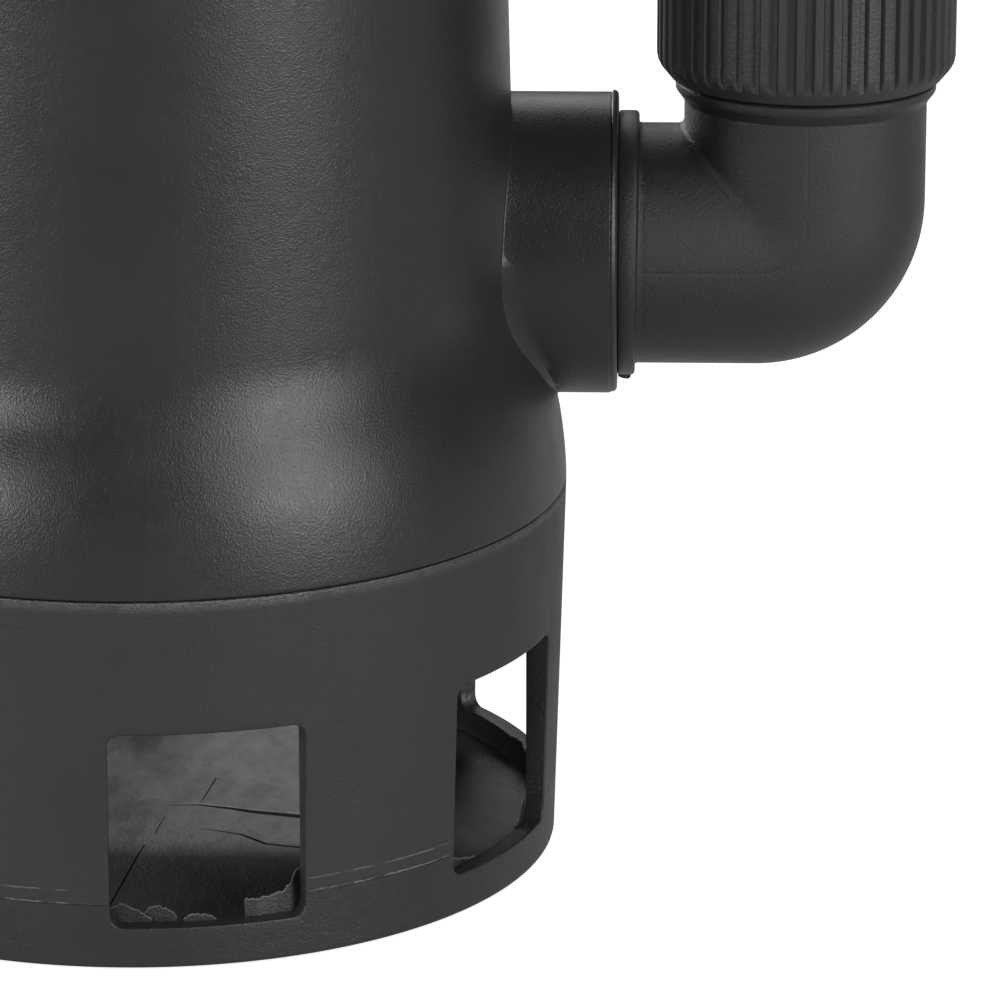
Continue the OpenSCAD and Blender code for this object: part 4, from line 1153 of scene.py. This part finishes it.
def metal(name, colour, rough=(0.22, 0.38), brushed=(1, 1, 12), depth=0.01, speckle=6.0):
    """Turned, ground or cast metal: fine marks along one direction, uneven gloss, faint stain."""
    made, tree, shader = material(name)
    marks = noise_at(tree, place_in_mm(tree, brushed), speckle, 3.0, 0.6)
    stain = remap(tree, noise_at(tree, place_in_mm(tree), 0.12, 4.0, 0.6), 0.3, 0.75, 0, 1)
    tint = blend_colours(tree, stain, colour, tuple(c * 0.8 for c in colour))
    finish(tree, shader, tint, remap(tree, marks, 0.3, 0.7, *rough), bump(tree, marks, depth), 1.0)
    return made


def rubber(name):
    """Moulded rubber: matt, with a fine bloom."""
    made, tree, shader = material(name)
    place = place_in_mm(tree)
    bloom = noise_at(tree, place, 0.5, 5.0, 0.65)
    colour = blend_colours(tree, remap(tree, bloom, 0.4, 0.75, 0, 0.7), grey(0.02), grey(0.052))
    rough = remap(tree, bloom, 0.3, 0.7, 0.62, 0.85)
    finish(tree, shader, colour, rough, bump(tree, noise_at(tree, place, 5.0, 2.0), 0.02))
    return made


def banded(name, first, second, depth, metallic, rough, **bands):
    """Fine bands of two colours in relief: core sheets or varnished wire."""
    made, tree, shader = material(name)
    wave = add(tree, "TexWave", place_in_mm(tree), **bands).outputs["Fac"]
    finish(tree, shader, blend_colours(tree, wave, first, second), rough, bump(tree, wave, depth), metallic)
    return made


def glazed(name, colour, rough):
    """Ceramic, carbon or moulded insulation: near even colour with fine specks."""
    made, tree, shader = material(name)
    specks = noise_at(tree, place_in_mm(tree), 3.0, 4.0, 0.7)
    darker = tuple(c * 0.7 for c in colour)
    tint = blend_colours(tree, remap(tree, specks, 0.55, 0.75, 0, 0.5), colour, darker)
    finish(tree, shader, tint, rough, bump(tree, specks, 0.01))
    return made


# Grey of the dust inside the base, which also stands in for the light on the lit part of the floor.
DUST_AND_LIGHT_GREY = 0.45
MATERIALS = {
    "housing": moulded_plastic("housing_grain", 0.018, 0.38, 0.019, (0.29, 0.37), scuffs=0.25, fine=0.026),
    "pedestal": moulded_plastic("pedestal_grain", 0.019, 0.55, 0.029, (0.40, 0.50), scuffs=0.2, scraped=True,
                                lines=((15.1, 0.14), (PLATE_Z + 0.25, 0.2))),
    # The base's floor: dust, with painted light at the back and painted shade in front and at the right.
    "base": moulded_plastic("base_grain", 0.019, 0.55, 0.029, (0.40, 0.50), scuffs=0.2, dust_and_painted_light=True),
    "elbow": moulded_plastic("elbow_grain", 0.017, 0.7, 0.029, (0.27, 0.37), scuffs=0.2, scraped=True),
    "torn": moulded_plastic("torn_edge", 0.10, 0.4, 0.05, (0.35, 0.6)),
    "nut": moulded_plastic("nut_grain", 0.026, 0.6, 0.03, (0.44, 0.56), fine=0.03),
    "black_plastic": moulded_plastic("plain_grain", 0.022, 0.8, 0.03, (0.42, 0.55), scuffs=0.1),
    "grip_plastic": moulded_plastic("grip_grain", 0.024, 0.8, 0.03, (0.45, 0.58)),
    "impeller_plastic": moulded_plastic("impeller_grain", 0.06, 0.8, 0.015, (0.35, 0.5)),
    "stainless": metal("stainless_turned", (0.60, 0.61, 0.62)),
    "bearing_steel": metal("bearing_ground", (0.66, 0.67, 0.68), (0.08, 0.18), (1, 1, 20), 0.003),
    "cage_brass": metal("cage_pressed", (0.62, 0.46, 0.22), (0.25, 0.4), (1, 1, 1)),
    "cast_aluminium": metal("aluminium_cast", (0.62, 0.63, 0.64), (0.38, 0.55), (1, 1, 1), 0.05, 2.0),
    "core_iron": banded("core_sheets", (0.10, 0.10, 0.11), (0.34, 0.35, 0.37), 0.04, 0.8, 0.5,
                        wave_type="BANDS", bands_direction="Z", Scale=0.32, Distortion=0.3),
    "winding_copper": banded("winding_wire", (0.20, 0.06, 0.025), (0.52, 0.21, 0.09), 0.25, 0.7, 0.32,
                             wave_type="RINGS", rings_direction="Z", Scale=0.42, Distortion=2.5),
    "rubber": rubber("rubber_bloom"),
    "seal_ceramic": glazed("ceramic_lapped", (0.80, 0.78, 0.72), 0.22),
    "seal_carbon": glazed("carbon_lapped", (0.05, 0.05, 0.052), 0.35),
    "terminal_plastic": glazed("terminal_moulded", (0.72, 0.72, 0.70), 0.35),
    "protector_plastic": glazed("protector_moulded", (0.30, 0.23, 0.15), 0.5),
}
SLOT_OF = {part["node"]: part["material_slot"] for part in frame["record"]["subparts"]}
for name, node in frame["nodes"].items():
    node.data.materials.clear()
    node.data.materials.append(MATERIALS[SLOT_OF[name]])

# -------------------- pieces
for name, build, body, finish_name, slot, nodes in (
    ("housing_shell", housing_mesh, "pump", "housing", "black_plastic", ["outer_housing"]),
    ("pedestal_ring", pedestal_mesh, "pump", "pedestal", "black_plastic", ["pedestal"]),
    ("pedestal_posts", posts_mesh, "pump", "black_plastic", "black_plastic", []),
    ("base_dish", base_mesh, "pump", "base", "black_plastic", ["base_plate"]),
    ("window_flash", film_bodies, "pump", "base", "black_plastic", []),
    ("flash_edges", film_edges, "pump", "torn", "black_plastic", []),
    ("outlet_elbow_tube", elbow_mesh, "elbow", "elbow", "black_plastic", ["outlet_elbow"]),
    ("union_nut_ribbed", nut_mesh, "nut", "nut", "grip_plastic", ["union_nut"]),
    ("stepped_adapter", adapter_mesh, "adapter", "black_plastic", "black_plastic", ["hose_adapter"]),
):
    piece(name, build(), body, MATERIALS[finish_name], nodes)


def mark(data, name, weight):
    """Writes an attribute from 0 to 1 at each point, worked out from its place in millimetres."""
    layer = data.attributes.new(name, "FLOAT", "POINT")
    values = [weight(v.co.x / MM, v.co.y / MM, v.co.z / MM) for v in data.vertices]
    layer.data.foreach_set("value", values)


def seam_mark(x, y, z):
    """Near 1 on the scraped edge under the housing, fading just below it."""
    if z < SEAM_Z - 2.3 or math.hypot(x, y) < SEAM_R - 2:
        return 0.0
    depth = scrape_depth(math.atan2(y, x))
    over = z - (SEAM_Z - 0.1 - scrape_width(depth))
    return held(over / 0.12 + 1.0) * (0.55 + 0.45 * depth)


mark(bpy.data.objects["pedestal_ring"].data, "scraped", seam_mark)

# -------------------- floor, light, camera
FLOOR_SIZE = 6.0


def stage_material():
    """White for the camera, light grey in reflections; a pale floor that keeps the object's shadow."""
    made, tree, shader = material("pale_floor")
    tree.nodes.remove(shader)
    out = tree.nodes["Material Output"]
    matt = add(tree, "BsdfDiffuse", Color=(0.8, 0.8, 0.8, 1))
    bright = add(tree, "Emission", Color=(1, 1, 1, 1), Strength=0.75)
    reflected = add(tree, "Emission", Color=(1, 1, 1, 1), Strength=0.45)
    both = add(tree, "AddShader", matt.outputs[0], bright.outputs[0])
    rays = add(tree, "LightPath").outputs
    seen = add(tree, "MixShader", rays["Is Camera Ray"], matt.outputs[0], both.outputs[0])
    surface = add(tree, "MixShader", rays["Is Glossy Ray"], seen.outputs[0], reflected.outputs[0])
    tree.links.new(surface.outputs[0], out.inputs["Surface"])
    return made


def floor():
    half = FLOOR_SIZE / 2
    data = bpy.data.meshes.new("floor")
    corners = [(-half, -half, 0), (half, -half, 0), (half, half, 0), (-half, half, 0)]
    data.from_pydata(corners, [], [(0, 1, 2, 3)])
    data.materials.append(stage_material())
    made = placed("floor", data)
    made.location.z = -0.0004


def world():
    """Faint light from all round; white to the camera."""
    made = bpy.data.worlds.new("studio")
    bpy.context.scene.world = made
    made.use_nodes = True
    tree = made.node_tree
    tree.nodes.clear()
    rays = add(tree, "LightPath").outputs
    soft = add(tree, "Background", Color=(1, 1, 1, 1), Strength=0.04)
    white = add(tree, "Background", Color=(1, 1, 1, 1), Strength=1.0)
    pick = add(tree, "MixShader", rays["Is Camera Ray"], soft.outputs[0], white.outputs[0])
    add(tree, "OutputWorld", pick.outputs[0])


LIGHT_DISTANCE = 1.6
LIGHT_TARGET = Vector((0.03, 0, 0.12))
LAMPS = (
    ("key", -44, 11, 0.74, 0.72, 13.5),
    ("key_high", -44, 37, 0.7, 0.45, 8.0),
    ("left_strip", -146, 12, 1.15, 0.45, 18),
    ("back_left", 125, 12, 0.4, 0.4, 7),
    ("back_top", 95, 28, 0.6, 0.6, 2.4),
)
CAMERA_PLACE = (0.0964254, -1.1263572, 0.4157614)
CAMERA_AIM = (-0.02473125, 0.95466089, -0.2966664)
CAMERA_LENS = 222.811


def softbox(name, azimuth, elevation, width, height, power):
    """An area lamp that faces the object: direction in degrees, size in metres, power in watts."""
    turn, tilt = math.radians(azimuth), math.radians(elevation)
    aim = Vector((math.cos(turn) * math.cos(tilt), math.sin(turn) * math.cos(tilt), math.sin(tilt)))
    data = bpy.data.lights.new(name, "AREA")
    data.shape, data.size, data.size_y, data.energy = "RECTANGLE", width, height, power
    made = placed(name, data)
    made.location = LIGHT_TARGET + LIGHT_DISTANCE * aim
    made.rotation_mode = "QUATERNION"
    made.rotation_quaternion = aim.to_track_quat("Z", "Y")


def camera():
    """The camera: level roll, no shift, a long lens a little right of the shaft."""
    data = bpy.data.cameras.new("camera")
    data.lens, data.sensor_width = CAMERA_LENS, 36.0
    made = placed("camera", data)
    made.location = CAMERA_PLACE
    made.rotation_mode = "QUATERNION"
    made.rotation_quaternion = Vector(CAMERA_AIM).to_track_quat("-Z", "Y")
    bpy.context.scene.camera = made


floor()
world()
for lamp in LAMPS:
    softbox(*lamp)
camera()
bpy.context.scene.view_settings.view_transform = "Standard"
